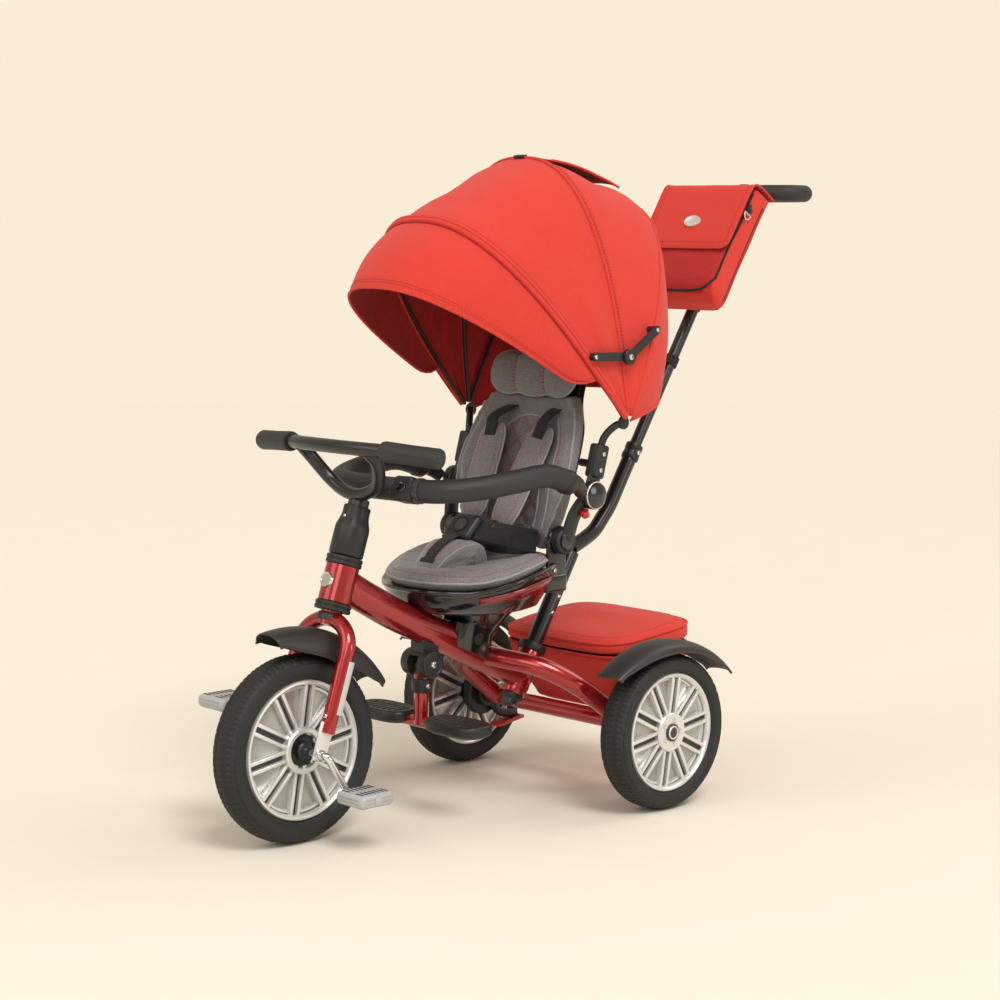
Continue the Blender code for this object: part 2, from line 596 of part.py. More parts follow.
# Backrest: shell, pads and the two side arms that carry the safety ring and the canopy.
BACK_LEVELS = ((0.446, -0.050, 0.098, 0.030), (0.500, -0.034, 0.117, 0.030), (0.557, -0.026, 0.132, 0.030),
               (0.620, 0.002, 0.122, 0.030), (0.672, 0.020, 0.098, 0.026), (0.740, 0.034, 0.090, 0.010))


def backRing(level, front, back, shrink):
    z, y, half, wrap = level
    half -= shrink
    ring = []
    for k in range(9):
        u = -1 + 2 * k / 8
        ring.append(Vector((u * half, y - front - wrap * abs(u) ** 2.5, z)))
    for k in range(9):
        u = 1 - 2 * k / 8
        ring.append(Vector((u * half, y + back - wrap * abs(u) ** 2.5, z)))
    return ring


def buildBackrest():
    loft("backrest_shell", [backRing(level, -0.0195, 0.0320, 0.004) for level in BACK_LEVELS], plasticBlack)
    loft("backrest_pad", [backRing(level, 0.0, 0.0185, 0.006) for level in BACK_LEVELS[:5]], wool)
    loft("head_pillow", [
        ellipse((0.0, 0.008), 0.070, 0.010, 24, power=2.4, z=0.6780),
        ellipse((0.0, 0.010), 0.094, 0.0165, 24, power=2.4, z=0.6900),
        ellipse((0.0, 0.014), 0.100, 0.0175, 24, power=2.4, z=0.7150),
        ellipse((0.0, 0.018), 0.092, 0.0155, 24, power=2.4, z=0.7400),
        ellipse((0.0, 0.020), 0.060, 0.0080, 24, power=2.4, z=0.7520)], wool)
    for side, sign in sides():
        top, bottom = Vector((sign * 0.052, -0.034, 0.6150)), Vector((sign * 0.048, -0.092, 0.4760))
        middle = (top + bottom) / 2
        tilt = math.atan2((top - bottom).y, (top - bottom).z)
        pad = asMesh("shoulder_pad_" + side, padForm(0.024, 0.076, 0.014), wool)
        pad.matrix_basis = Matrix.Translation(middle) @ Matrix.Rotation(math.radians(90) - tilt, 4, "X")
        freeze(pad)
        buildSideArm(side, sign)


def buildSideArm(side, sign):
    """Pivot boss, curved plate, ring knob, canopy socket and the bent rod up to the canopy pivot."""
    x = sign * 0.1560
    arm = rod("seat_arm_" + side, (sign * 0.1265, RECLINE_PIVOT.y, RECLINE_PIVOT.z),
              (sign * 0.1420, RECLINE_PIVOT.y, RECLINE_PIVOT.z), 0.0220, plasticBlack, segments=20)
    path = [(sign * 0.1390, -0.052, 0.450), (sign * 0.1460, -0.042, 0.490), (sign * 0.1550, -0.020, 0.524),
            (x, -0.004, 0.560), (x, 0.006, 0.600)]
    parts = [tube("plate", path, 0.0110, None, sides=10, steps=2),
             tube("wire", [(x, 0.005, 0.594), (sign * 0.161, 0.011, 0.616), (sign * 0.1720, 0.023, 0.633),
                           (sign * 0.1830, 0.034, 0.6390)], 0.0065, None, sides=8, steps=2),
             rod("socket", (x, -0.009, 0.548), (x, 0.006, 0.602), 0.0130, None, segments=14),
             rod("pivot_boss", (sign * 0.1790, CANOPY_PIVOT.y, CANOPY_PIVOT.z),
                 (sign * 0.1845, CANOPY_PIVOT.y, CANOPY_PIVOT.z), 0.0110, None, segments=16),
             rod("knob", (sign * 0.1560, -0.018, 0.522), (sign * 0.1800, -0.018, 0.522), 0.0235, None,
                 segments=24),
             rod("back_bar", (sign * 0.1500, 0.000, 0.570), (sign * 0.1100, 0.010, 0.570), 0.0065, None,
                 segments=10)]
    combine(arm, parts, "UNION")
    top, bottom = (Vector((sign * p.x, p.y, p.z)) for p in RELEASE)
    rise = Vector((0.0, 0.0, 0.0055))
    combine(arm, [rod("release_pocket", top + rise, bottom - rise, 0.0084, None, segments=16)], "DIFFERENCE")
    rod("ring_release_" + side, top, bottom, 0.0072, releaseRed, segments=14, end_radius=0.0055)


def buildSafetyRing():
    """Two half rings that swing outwards like gates and meet at the lock in front."""
    lock_x = 0.052
    half = [(0.1760, -0.088, 0.549), (0.1800, -0.142, 0.563), (0.1750, -0.203, 0.558), (0.1580, -0.264, 0.550),
            (0.1220, -0.314, 0.545), (0.0800, -0.336, 0.545), (lock_x, -0.3425, 0.545)]
    gates = {"left": half,
             "right": [(-x, y, z) for x, y, z in half] + [(0.0, -0.347, 0.545), (lock_x - 0.0035, -0.3429, 0.545)]}
    for side, sign in sides():
        hinge = addPivot("ring_pivot_" + side, (sign * RING_PIVOT.x, RING_PIVOT.y, RING_PIVOT.z))
        toLocal = hinge.matrix_world.inverted()
        ring = tube("ring_" + side, [toLocal @ Vector(p) for p in gates[side]], RING_R, foam, sides=12, steps=2,
                    parent=hinge)
        parts = [tube("link", [toLocal @ Vector((sign * 0.1755, -0.092, 0.550)),
                               toLocal @ Vector((sign * RING_PIVOT.x, RING_PIVOT.y, RING_PIVOT.z))], 0.0080,
                      None, sides=10, parent=hinge)]
        if side == "left":
            parts.append(rod("lock_case", toLocal @ Vector((lock_x + 0.0005, -0.3424, 0.545)),
                             toLocal @ Vector((0.0860, -0.3335, 0.545)), RING_R + 0.0015, None, segments=20,
                             parent=hinge))
        combine(ring, parts, "UNION")
        if side == "left":
            press = Vector((0.0690, -0.3380, 0.5450))
            out = Vector((0.22, -0.92, 0.30)).normalized()
            place = toLocal @ (Matrix.Translation(press + out * 0.014) @ aim(out))
            pocket = rod("pocket", (0, 0, 0), (0, 0, 0.020), 0.0094, None, segments=20, parent=hinge)
            pocket.matrix_basis = place
            freeze(pocket)
            combine(ring, [pocket], "DIFFERENCE")
            button = turned("ring_button", [(0.0, 0.0100), (0.0070, 0.0095), (0.0090, 0.0075), (0.0090, 0.0035),
                                            (0.0, 0.0035)], plasticGloss, steps=20, closed=False, parent=hinge)
            button.matrix_local = place


# Canopy: bows are superellipses in planes through the pivot axis.
BOW_POWER = 2.5
BOW_FOOT = 0.045


def bowPoints(tilt, height, half_width, count, foot):
    """A bow from one side to the other; tilt is its lean towards the front, in degrees."""
    lean = math.radians(tilt)
    points = []
    for i in range(count):
        angle = math.pi * i / (count - 1)
        c, s = math.cos(angle), math.sin(angle)
        x = half_width * math.copysign(abs(c) ** (2.0 / BOW_POWER), c)
        reach = foot + (height - foot) * abs(s) ** (2.0 / BOW_POWER)
        points.append(CANOPY_PIVOT + Vector((x, -math.sin(lean) * reach, math.cos(lean) * reach)))
    return points


def canopySkin(name, rows, count, parent=None):
    """A cloth skin over bows given as (lean towards the front, height, half width) rows."""
    back = parent.matrix_world.inverted() if parent else Matrix.Identity(4)
    skin = loft(name, [[back @ p for p in bowPoints(*row, count, BOW_FOOT)] for row in rows], cloth, cap=False,
                close=False, parent=parent)
    face = skin.data.polygons[len(skin.data.polygons) // 2]
    outward = (Vector(face.center) - back @ CANOPY_PIVOT).dot(face.normal) > 0.0
    return freeze(thicken(skin, CANOPY_SKIN, -1.0 if outward else 1.0))


def buildCanopy():
    canopySkin("canopy_rear", [(8.0, 0.4330, 0.1900), (-8.0, 0.4080, 0.1930), (-23.0, 0.3930, 0.1950),
                               (-31.5, 0.3410, 0.1950), (-41.7, 0.2830, 0.1930), (-56.2, 0.2180, 0.1900),
                               (-76.0, 0.1710, 0.1850)], 19)
    canopySkin("canopy_panel", [(8.6, 0.4335, 0.1905), (25.0, 0.4160, 0.1930), (40.8, 0.4340, 0.1930)], 19)
    hinge = addPivot("canopy_pivot", CANOPY_PIVOT)
    canopySkin("canopy_visor", [(41.8, 0.4350, 0.1930), (52.0, 0.4470, 0.1900), (60.3, 0.4450, 0.1800)], 19, hinge)
    buildStretchers()


STRETCH_KNEE = Vector((0.0, 0.0200, 0.7480))
STRETCH_FRONT = Vector((0.0, -0.0560, 0.7500))
STRETCH_REAR = Vector((0.0, 0.0850, 0.7900))
STRETCH_R = 0.0070


def flatLink(name, start, end, x_inner, x_outer, sign, parent):
    """A flat bar with round ends, lying in a plane of constant x."""
    toLocal = parent.matrix_world.inverted()
    along = (end - start).normalized()
    across = Vector((0.0, -along.z, along.y))
    rows = []
    for x in (x_inner, x_outer):
        row = []
        for centre, turn in ((end, 0.0), (start, math.pi)):
            for k in range(7):
                angle = turn + math.pi / 2 - math.pi * k / 6
                p = centre + (along * math.cos(angle) + across * math.sin(angle)) * STRETCH_R
                row.append(toLocal @ (p + Vector((sign * x, 0.0, 0.0))))
        rows.append(row)
    return loft(name, rows, plasticBlack, parent=parent)


def buildStretchers():
    for side, sign in sides():
        front_hinge = addPivot("stretcher_front_pivot_" + side, STRETCH_FRONT)
        rear_hinge = addPivot("stretcher_rear_pivot_" + side, STRETCH_REAR)
        flatLink("stretcher_front_" + side, STRETCH_FRONT, STRETCH_KNEE, 0.2000, 0.2035, sign, front_hinge)
        flatLink("stretcher_rear_" + side, STRETCH_REAR, STRETCH_KNEE, 0.2040, 0.2075, sign, rear_hinge)


# Push handle, bag and basket
def pushPoint(along, forward=0.0, x=0.0):
    """A point by its distance up the push tube from the clamp and in front of the tube."""
    front = Vector((0.0, -PUSH_DIR.z, PUSH_DIR.y))
    return PUSH_CLAMP + PUSH_DIR * along + front * forward + Vector((x, 0.0, 0.0))


def buildPushHandle():
    lower = tube("push_tube_lower", [(0.0, 0.1125, 0.4120), (0.0, 0.1350, 0.4210), (0.0, 0.1580, 0.4330),
                                     (0.0, 0.1770, 0.4520), pushPoint(-0.105), pushPoint(-0.0145)],
                 PUSH_R, paintBlack, sides=14, steps=2)
    bore = rod("bore", pushPoint(-0.118), pushPoint(0.02), PUSH_BORE_R, None, segments=20)
    combine(lower, [bore], "DIFFERENCE")
    clamp = [(0.0155, 0.014), (0.0155, -0.014), (PUSH_BORE_R, -0.014), (PUSH_BORE_R, 0.014)]
    turned("push_clamp", clamp, plasticBlack, steps=20, matrix=Matrix.Translation(PUSH_CLAMP) @ aim(PUSH_DIR))
    tube("push_tube_upper", [pushPoint(-0.050), pushPoint(0.20), pushPoint(0.455), pushPoint(0.490, -0.004),
                             pushPoint(0.515, -0.016), (0.0, HANDLE_CENTRE.y - 0.0765, HANDLE_CENTRE.z)],
         PUSH_UPPER_R, paintBlack, sides=14)
    loop = [HANDLE_CENTRE + Vector((0.084 * math.copysign(abs(math.cos(a)) ** 0.8, math.cos(a)),
                                    0.044 * math.copysign(abs(math.sin(a)) ** 0.8, math.sin(a)), 0.0))
            for a in (2 * math.pi * i / 24 for i in range(24))]
    tube("handle_grip", loop, 0.0155, foam, sides=10, cyclic=True)
    bag = block("handle_bag", (0.200, 0.062, 0.225), (0.0, 0.0, 0.0), cloth, bevel=0.012)
    bag.matrix_basis = Matrix.Translation(pushPoint(0.378, 0.0465)) @ aim(PUSH_DIR)
    freeze(bag)
    hinge = addPivot("bag_flap_pivot", pushPoint(0.4940, 0.0200))
    flap = block("bag_flap", (0.208, 0.0040, 0.140), hinge.matrix_world.inverted() @ pushPoint(0.4240, 0.0803), cloth,
                 rotation=(-math.atan2(PUSH_DIR.y, PUSH_DIR.z), 0.0, 0.0), parent=hinge)
    top = block("flap_top", (0.208, 0.063, 0.0040), hinge.matrix_world.inverted() @ pushPoint(0.4935, 0.0508),
                None, rotation=(-math.atan2(PUSH_DIR.y, PUSH_DIR.z), 0.0, 0.0), parent=hinge)
    combine(flap, [top], "UNION")


def basketLoop(half_x, y_front, y_back, z_front, z_back, power=5.0):
    centre = (0.0, (y_front + y_back) / 2)
    half_y = (y_back - y_front) / 2
    rise = (z_back - z_front) / (y_back - y_front)
    return ellipse(centre, half_x, half_y, 24, power=power, z=z_front, lift=lambda x, y: (y - y_front) * rise)


def buildBasket():
    rows = [basketLoop(0.105, 0.116, 0.240, 0.135, 0.132), basketLoop(0.120, 0.112, 0.262, 0.145, 0.145),
            basketLoop(0.138, 0.072, 0.276, 0.205, 0.205), basketLoop(0.140, 0.062, 0.278, 0.236, 0.246)]
    outer = loft("basket", rows, cloth)
    inner_rows = [basketLoop(0.115, 0.117, 0.256, 0.149, 0.149), basketLoop(0.1350, 0.0755, 0.272, 0.2055, 0.2055),
                  basketLoop(0.1370, 0.065, 0.275, 0.250, 0.260)]
    inner = loft("basket_inside", inner_rows, None)
    combine(outer, [inner], "DIFFERENCE")
    hinge = addPivot("basket_lid_pivot", LID_HINGE)
    toLocal = hinge.matrix_world.inverted()
    lid_rows = [basketLoop(0.141, 0.061, 0.279, 0.2368, 0.2468), basketLoop(0.143, 0.059, 0.281, 0.252, 0.272),
                basketLoop(0.139, 0.064, 0.276, 0.262, 0.286), basketLoop(0.110, 0.095, 0.250, 0.270, 0.289)]
    loft("basket_lid", [[toLocal @ p for p in row] for row in lid_rows], cloth, parent=hinge)


for old in list(bpy.data.objects):
    bpy.data.objects.remove(old)
tricycle = makeCollection("tricycle")
paintRed = makeMaterial("paint_red", RED, 0.22, 0.6)
paintBlack = makeMaterial("paint_black", BLACK, 0.42, 0.3)
plasticBlack = makeMaterial("plastic_black", BLACK, 0.5, 0.0)
plasticDark = makeMaterial("plastic_dark_grey", DARK, 0.55, 0.0)
plasticGloss = makeMaterial("plastic_gloss_black", BLACK, 0.15, 0.0)
steel = makeMaterial("steel", STEEL, 0.2, 1.0)
alloy = makeMaterial("alloy", STEEL, 0.35, 0.9)
rubber = makeMaterial("tyre_rubber", TYRE, 0.8, 0.0)
foam = makeMaterial("foam", BLACK, 0.75, 0.0)
pedalGrey = makeMaterial("pedal_grey", PEDAL, 0.5, 0.0)
wool = makeMaterial("grey_cloth", GREY, 0.9, 0.0)
cloth = makeMaterial("red_cloth", CLOTH, 0.85, 0.0)
releaseRed = makeMaterial("release_red", (0.6, 0.02, 0.02), 0.35, 0.0)

buildFrame()
buildFootrest()
buildSteering()
buildFrontWheel()
buildRearWheels()
buildMudguards()
buildSeat()
buildBackrest()
buildSafetyRing()
buildCanopy()
buildPushHandle()
buildBasket()
bpy.context.view_layer.update()
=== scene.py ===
import math
import bmesh
import bpy
from mathutils import Matrix, Vector, noise
from mathutils.bvhtree import BVHTree


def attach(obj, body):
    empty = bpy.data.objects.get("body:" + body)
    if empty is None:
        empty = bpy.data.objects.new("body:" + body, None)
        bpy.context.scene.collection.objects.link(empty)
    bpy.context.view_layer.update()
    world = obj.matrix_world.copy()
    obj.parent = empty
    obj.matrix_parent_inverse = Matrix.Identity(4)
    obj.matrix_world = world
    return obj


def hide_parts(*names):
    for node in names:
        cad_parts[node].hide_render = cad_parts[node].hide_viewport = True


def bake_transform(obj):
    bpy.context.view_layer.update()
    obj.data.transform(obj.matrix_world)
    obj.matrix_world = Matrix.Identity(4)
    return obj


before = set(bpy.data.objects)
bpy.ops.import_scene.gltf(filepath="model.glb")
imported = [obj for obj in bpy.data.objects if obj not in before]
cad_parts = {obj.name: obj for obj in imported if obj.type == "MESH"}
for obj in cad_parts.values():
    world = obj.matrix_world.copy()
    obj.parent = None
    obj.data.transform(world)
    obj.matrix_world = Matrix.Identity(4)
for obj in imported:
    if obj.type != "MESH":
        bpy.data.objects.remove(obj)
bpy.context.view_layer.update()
rearAxle = Vector((0.0, 0.076, 0.130))
frontHub = Vector((0.0, -0.5105, 0.148))
steerBase = Vector((0.0, -0.5045, 0.148))
rake = math.radians(18.4)
steerTurn = Matrix.Translation(steerBase) @ Matrix.Rotation(-rake, 4, "X")
pushClamp = Vector((0.0, 0.253, 0.564))
pushDir = Vector((0.0, 0.5327, 0.8464)).normalized()
canopyPivot = Vector((0.0, 0.034, 0.639))
bothSides = (("left", 1.0), ("right", -1.0))


def onSteering(height, forward=0.0):
    return steerTurn @ Vector((0.0, -forward, height))


def pushPoint(along, forward=0.0, x=0.0):
    return pushClamp + pushDir * along + Vector((x, -pushDir.z * forward, pushDir.y * forward))


def postPoint(z):
    foot, top = Vector((0.0, -0.036, 0.170)), Vector((0.0, 0.1025, 0.401))
    return foot + (top - foot) * ((z - foot.z) / (top.z - foot.z))


# finishes
def newFinish(name):
    material = bpy.data.materials.new(name)
    material.use_nodes = True
    tree = material.node_tree
    return material, tree, tree.nodes["Principled BSDF"]


def addNode(tree, kind, **values):
    node = tree.nodes.new(kind)
    for key, value in values.items():
        if hasattr(node, key):
            setattr(node, key, value)
        else:
            node.inputs[key.replace("_", " ")].default_value = value
    return node


def mixColours(tree, factor, first, second):
    ramp = tree.nodes.new("ShaderNodeValToRGB")
    ramp.color_ramp.elements[0].color = (*first, 1.0)
    ramp.color_ramp.elements[1].color = (*second, 1.0)
    ramp.color_ramp.elements[0].position, ramp.color_ramp.elements[1].position = 0.32, 0.68
    tree.links.new(factor, ramp.inputs["Fac"])
    return ramp.outputs["Color"]


def hardFinish(name, colour, roughness, metallic=0.0, second=None, mottle=9.0, grain=900.0, bump=0.02,
               roughSpread=0.08, coat=0.0, coatRoughness=0.06, specular=0.5):
    material, tree, shader = newFinish(name)
    place = tree.nodes.new("ShaderNodeTexCoord")
    cloud = addNode(tree, "ShaderNodeTexNoise", Scale=mottle, Detail=3.0)
    tree.links.new(place.outputs["Object"], cloud.inputs["Vector"])
    second = second or tuple(c * 0.86 for c in colour)
    tree.links.new(mixColours(tree, cloud.outputs["Fac"], colour, second), shader.inputs["Base Color"])
    spread = addNode(tree, "ShaderNodeMapRange")
    spread.inputs["To Min"].default_value = max(0.02, roughness - roughSpread / 2)
    spread.inputs["To Max"].default_value = roughness + roughSpread / 2
    tree.links.new(cloud.outputs["Fac"], spread.inputs["Value"])
    tree.links.new(spread.outputs["Result"], shader.inputs["Roughness"])
    fine = addNode(tree, "ShaderNodeTexNoise", Scale=grain, Detail=2.0)
    tree.links.new(place.outputs["Object"], fine.inputs["Vector"])
    relief = addNode(tree, "ShaderNodeBump", Strength=bump, Distance=0.0006)
    tree.links.new(fine.outputs["Fac"], relief.inputs["Height"])
    tree.links.new(relief.outputs["Normal"], shader.inputs["Normal"])
    shader.inputs["Metallic"].default_value = metallic
    shader.inputs["Coat Weight"].default_value = coat
    shader.inputs["Coat Roughness"].default_value = coatRoughness
    shader.inputs["Specular IOR Level"].default_value = specular
    return material


def clothFinish(name, colour, second, roughness=0.85, thread=0.0011, bump=0.35, sheen=0.25, mottle=60.0,
                heather=0.0, stripes=False):
    # two crossed wave bands make the weave, noise gives the yarn its uneven colour
    material, tree, shader = newFinish(name)
    place = tree.nodes.new("ShaderNodeTexCoord")
    heights = []
    for axis in (("X",) if stripes else ("X", "Z")):
        wave = addNode(tree, "ShaderNodeTexWave", wave_type="BANDS", bands_direction=axis)
        wave.inputs["Scale"].default_value = 0.314 / thread
        wave.inputs["Distortion"].default_value = 0.6
        tree.links.new(place.outputs["Object"], wave.inputs["Vector"])
        heights.append(wave.outputs["Fac"])
    total = heights[0]
    for other in heights[1:]:
        add = addNode(tree, "ShaderNodeMath", operation="MULTIPLY_ADD")
        tree.links.new(total, add.inputs[0])
        add.inputs[1].default_value = 0.5
        tree.links.new(other, add.inputs[2])
        total = add.outputs[0]
    yarn = addNode(tree, "ShaderNodeTexNoise", Scale=mottle if not heather else heather, Detail=4.0)
    tree.links.new(place.outputs["Object"], yarn.inputs["Vector"])
    tree.links.new(mixColours(tree, yarn.outputs["Fac"], colour, second), shader.inputs["Base Color"])
    relief = addNode(tree, "ShaderNodeBump", Strength=bump, Distance=0.0004)
    tree.links.new(total, relief.inputs["Height"])
    tree.links.new(relief.outputs["Normal"], shader.inputs["Normal"])
    shader.inputs["Roughness"].default_value = roughness
    shader.inputs["Sheen Weight"].default_value = sheen
    shader.inputs["Sheen Roughness"].default_value = 0.5
    shader.inputs["Specular IOR Level"].default_value = 0.3
    return material


candyRed = hardFinish("candyRedPaint", (0.40, 0.010, 0.014), 0.24, 0.60, (0.34, 0.008, 0.011), coat=1.0,
        bump=0.004)
satinBlack = hardFinish("satinBlackPaint", (0.016, 0.016, 0.018), 0.30, 0.2, coat=0.3, coatRoughness=0.2)
matteBlack = hardFinish("matteBlackPlastic", (0.014, 0.014, 0.015), 0.42, bump=0.10, grain=1400.0)
glossBlack = hardFinish("glossBlackPlastic", (0.010, 0.010, 0.011), 0.14, coat=0.6, bump=0.004,
        roughSpread=0.04)
fenderGrey = hardFinish("fenderPlastic", (0.026, 0.025, 0.026), 0.42, bump=0.08, grain=1100.0)
foamGrey = hardFinish("charcoalFoam", (0.024, 0.024, 0.025), 0.56, second=(0.018, 0.018, 0.019), bump=0.32,
        grain=620.0)
tyreRubber = hardFinish("tyreRubber", (0.014, 0.014, 0.015), 0.66, bump=0.12, grain=500.0)
silverPaint = hardFinish("silverPaint", (0.76, 0.755, 0.75), 0.28, 0.55, (0.71, 0.705, 0.70), coat=0.4)
dishSilver = hardFinish("dishSilver", (0.46, 0.455, 0.45), 0.26, 0.55, (0.38, 0.375, 0.37))
# dark grey for hub caps, buttons and the lock band; also painted shade in the spoke channels
darkGreyAndGrooveShade = hardFinish("darkGreyAndGrooveShade", (0.045, 0.045, 0.048), 0.40, 0.2)
chrome = hardFinish("chromedSteel", (0.80, 0.80, 0.81), 0.10, 1.0, (0.74, 0.74, 0.75), bump=0.004,
        roughSpread=0.05)
pedalGrey = hardFinish("pedalPlastic", (0.44, 0.44, 0.45), 0.42, second=(0.38, 0.38, 0.39), bump=0.10)
buttonRed = hardFinish("glossRedPlastic", (0.62, 0.012, 0.016), 0.22, coat=0.5)
darkRed = hardFinish("darkRedPlastic", (0.20, 0.008, 0.012), 0.20, coat=0.6)
silverFilm = hardFinish("reflectorFilm", (0.62, 0.63, 0.65), 0.30, 0.5, (0.50, 0.51, 0.54), grain=300.0,
        bump=0.10)
redCloth = clothFinish("redCanvas", (0.70, 0.048, 0.034), (0.62, 0.040, 0.029), thread=0.0012, sheen=0.12,
        heather=700.0, bump=0.55)
# darker copy of the red canvas: painted shade on the bag front, beside the gusset zips and on the basket rim
# under the lid
redPaintedShade = clothFinish("redCanvasPaintedShade", (0.50, 0.026, 0.022), (0.43, 0.020, 0.018), thread=0.0012, sheen=0.12,
        heather=700.0, bump=0.55)
# darker red for the inner faces of the cloth; the same finish draws painted shadow lines on the canopy band
redLiningAndPaintedShade = clothFinish("redLiningAndPaintedShade", (0.42, 0.012, 0.013), (0.34, 0.010, 0.011), thread=0.0010, sheen=0.1)
greyWool = clothFinish("heatherGrey", (0.150, 0.140, 0.150), (0.265, 0.250, 0.262), thread=0.0013, bump=0.6,
                       heather=420.0, sheen=0.35)
pipingGrey = clothFinish("pipingGrey", (0.34, 0.33, 0.35), (0.27, 0.26, 0.28), thread=0.0008, stripes=True)
stitchRed = clothFinish("redThread", (0.42, 0.012, 0.016), (0.30, 0.008, 0.012), thread=0.0005, stripes=True)
webbing = clothFinish("blackWebbing", (0.016, 0.016, 0.017), (0.026, 0.026, 0.028), thread=0.0016, bump=0.7,
        sheen=0.1)
blackMesh = clothFinish("blackMesh", (0.024, 0.023, 0.025), (0.045, 0.043, 0.046), thread=0.0022, bump=1.0,
        sheen=0.15)
blackCloth = clothFinish("blackBinding", (0.017, 0.017, 0.018), (0.024, 0.024, 0.025), thread=0.0009,
        bump=0.4, sheen=0.1)
print("finishes made")


# shared making tools
def asObject(name, bm, material, smoothAngle=40.0):
    mesh = bpy.data.meshes.new(name)
    bmesh.ops.recalc_face_normals(bm, faces=bm.faces)
    bm.to_mesh(mesh)
    bm.free()
    mesh.shade_smooth()
    mesh.set_sharp_from_angle(angle=math.radians(smoothAngle))
    obj = bpy.data.objects.new(name, mesh)
    bpy.context.scene.collection.objects.link(obj)
    for each in (material if isinstance(material, (list, tuple)) else [material]):
        mesh.materials.append(each)
    return obj


def put(obj, body, *nodes):
    # lets a piece ride on its body and stand for the nodes it replaces
    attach(obj, body)
    if nodes:
        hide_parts(*nodes)
    return obj


def freeze(obj):
    bpy.context.view_layer.update()
    mesh = bpy.data.meshes.new_from_object(obj.evaluated_get(bpy.context.evaluated_depsgraph_get()))
    mesh.transform(obj.matrix_world)
    obj.modifiers.clear()
    obj.data = mesh
    obj.matrix_world = Matrix.Identity(4)
    return obj


def join(name, objs):
    # several meshes become one piece, each keeping its finish
    bm = bmesh.new()
    finishes = []
    for obj in objs:
        freeze(obj)
        for material in obj.data.materials:
            if material not in finishes:
                finishes.append(material)
        slots = [finishes.index(m) for m in obj.data.materials]
        start = len(bm.faces)
        bm.from_mesh(obj.data)
        bm.faces.ensure_lookup_table()
        for face in bm.faces[start:]:
            face.material_index = slots[min(face.material_index, len(slots) - 1)]
        bpy.data.objects.remove(obj)
    mesh = bpy.data.meshes.new(name)
    bm.to_mesh(mesh)
    bm.free()
    for material in finishes:
        mesh.materials.append(material)
    obj = bpy.data.objects.new(name, mesh)
    bpy.context.scene.collection.objects.link(obj)
    return obj


def smoothPath(points, steps, cyclic=False):
    points = [Vector(p) for p in points]
    count, path = len(points), []
    for i in range(count if cyclic else count - 1):
        if cyclic:
            p0, p1, p2, p3 = (points[(i + k - 1) % count] for k in range(4))
        else:
            p1, p2 = points[i], points[i + 1]
            p0 = points[i - 1] if i else p1 * 2 - p2
            p3 = points[i + 2] if i + 2 < count else p2 * 2 - p1
        for k in range(steps):
            t = k / steps
            path.append(0.5 * (2 * p1 + (p2 - p0) * t + (2 * p0 - 5 * p1 + 4 * p2 - p3) * t * t
                               + (3 * p1 - p0 - 3 * p2 + p3) * t ** 3))
    if not cyclic:
        path.append(points[-1])
    return path


def skin(name, rows, material, closeRow=False, closeAll=False, capStart=False, capEnd=False):
    bm = bmesh.new()
    rings = [[bm.verts.new(p) for p in row] for row in rows]
    count = len(rows[0])
    pairs = list(zip(rings, rings[1:])) + ([(rings[-1], rings[0])] if closeAll else [])
    for a, b in pairs:
        for i in range(count if closeRow else count - 1):
            j = (i + 1) % count
            bm.faces.new((a[i], a[j], b[j], b[i]))
    if capStart:
        bm.faces.new(rings[0])
    if capEnd:
        bm.faces.new(rings[-1])
    return asObject(name, bm, material)


def pipe(name, points, radius, material, sides=20, steps=6, cyclic=False, oval=(1.0, 1.0), up=None,
        radii=None,
         rounded=0.0):
    # a swept tube: the section turns with the path, oval squeezes it across and along its own axes
    path = smoothPath(points, steps, cyclic) if steps else [Vector(p) for p in points]
    count = len(path)
    tangents = []
    for i in range(count):
        a = path[(i - 1) % count] if cyclic or i else path[0]
        b = path[(i + 1) % count] if cyclic or i < count - 1 else path[-1]
        tangents.append((b - a).normalized())
    normal = Vector(up) if up else tangents[0].orthogonal()
    rows = []
    for i, (place, tangent) in enumerate(zip(path, tangents)):
        normal = (normal - tangent * normal.dot(tangent)).normalized()
        side = tangent.cross(normal)
        size = radius * (radii(i / (count - 1)) if radii else 1.0)
        rows.append([place + (side * math.cos(a) * oval[0] + normal * math.sin(a) * oval[1]) * size
                     for a in (2 * math.pi * k / sides for k in range(sides))])
    if rounded and not cyclic:
        for end, sign in ((0, -1.0), (-1, 1.0)):
            middle, tangent = path[end], tangents[end] * sign
            extra = [[middle + tangent * rounded * math.sin(a) + (p - middle) * (1 - rounded / radius
                      + rounded / radius * math.cos(a)) for p in rows[end]] for a in (0.5, 1.0, 1.4)]
            rows = rows + extra if end == -1 else extra[::-1] + rows
    if cyclic:
        return skin(name, rows, material, closeRow=True, closeAll=True)
    return skin(name, rows, material, closeRow=True, capStart=True, capEnd=True)


def lathe(name, profile, origin, axis, material, steps=72, closed=False):
    # profile: radius and height pairs along the axis
    turn = Vector((0.0, 0.0, 1.0)).rotation_difference(Vector(axis)).to_matrix().to_4x4()
    place = Matrix.Translation(origin) @ turn
    bm = bmesh.new()
    rings = []
    for r, h in profile:
        if r < 1e-6:
            rings.append([bm.verts.new(place @ Vector((0.0, 0.0, h)))])
        else:
            rings.append([bm.verts.new(place @ Vector((r * math.cos(a), r * math.sin(a), h)))
                          for a in (2 * math.pi * k / steps for k in range(steps))])
    for a, b in list(zip(rings, rings[1:])) + ([(rings[-1], rings[0])] if closed else []):
        for i in range(steps):
            j = (i + 1) % steps
            face = [a[i % len(a)], a[j % len(a)], b[j % len(b)], b[i % len(b)]]
            face = list(dict.fromkeys(face))
            if len(face) > 2:
                bm.faces.new(face)
    return asObject(name, bm, material, 35.0)


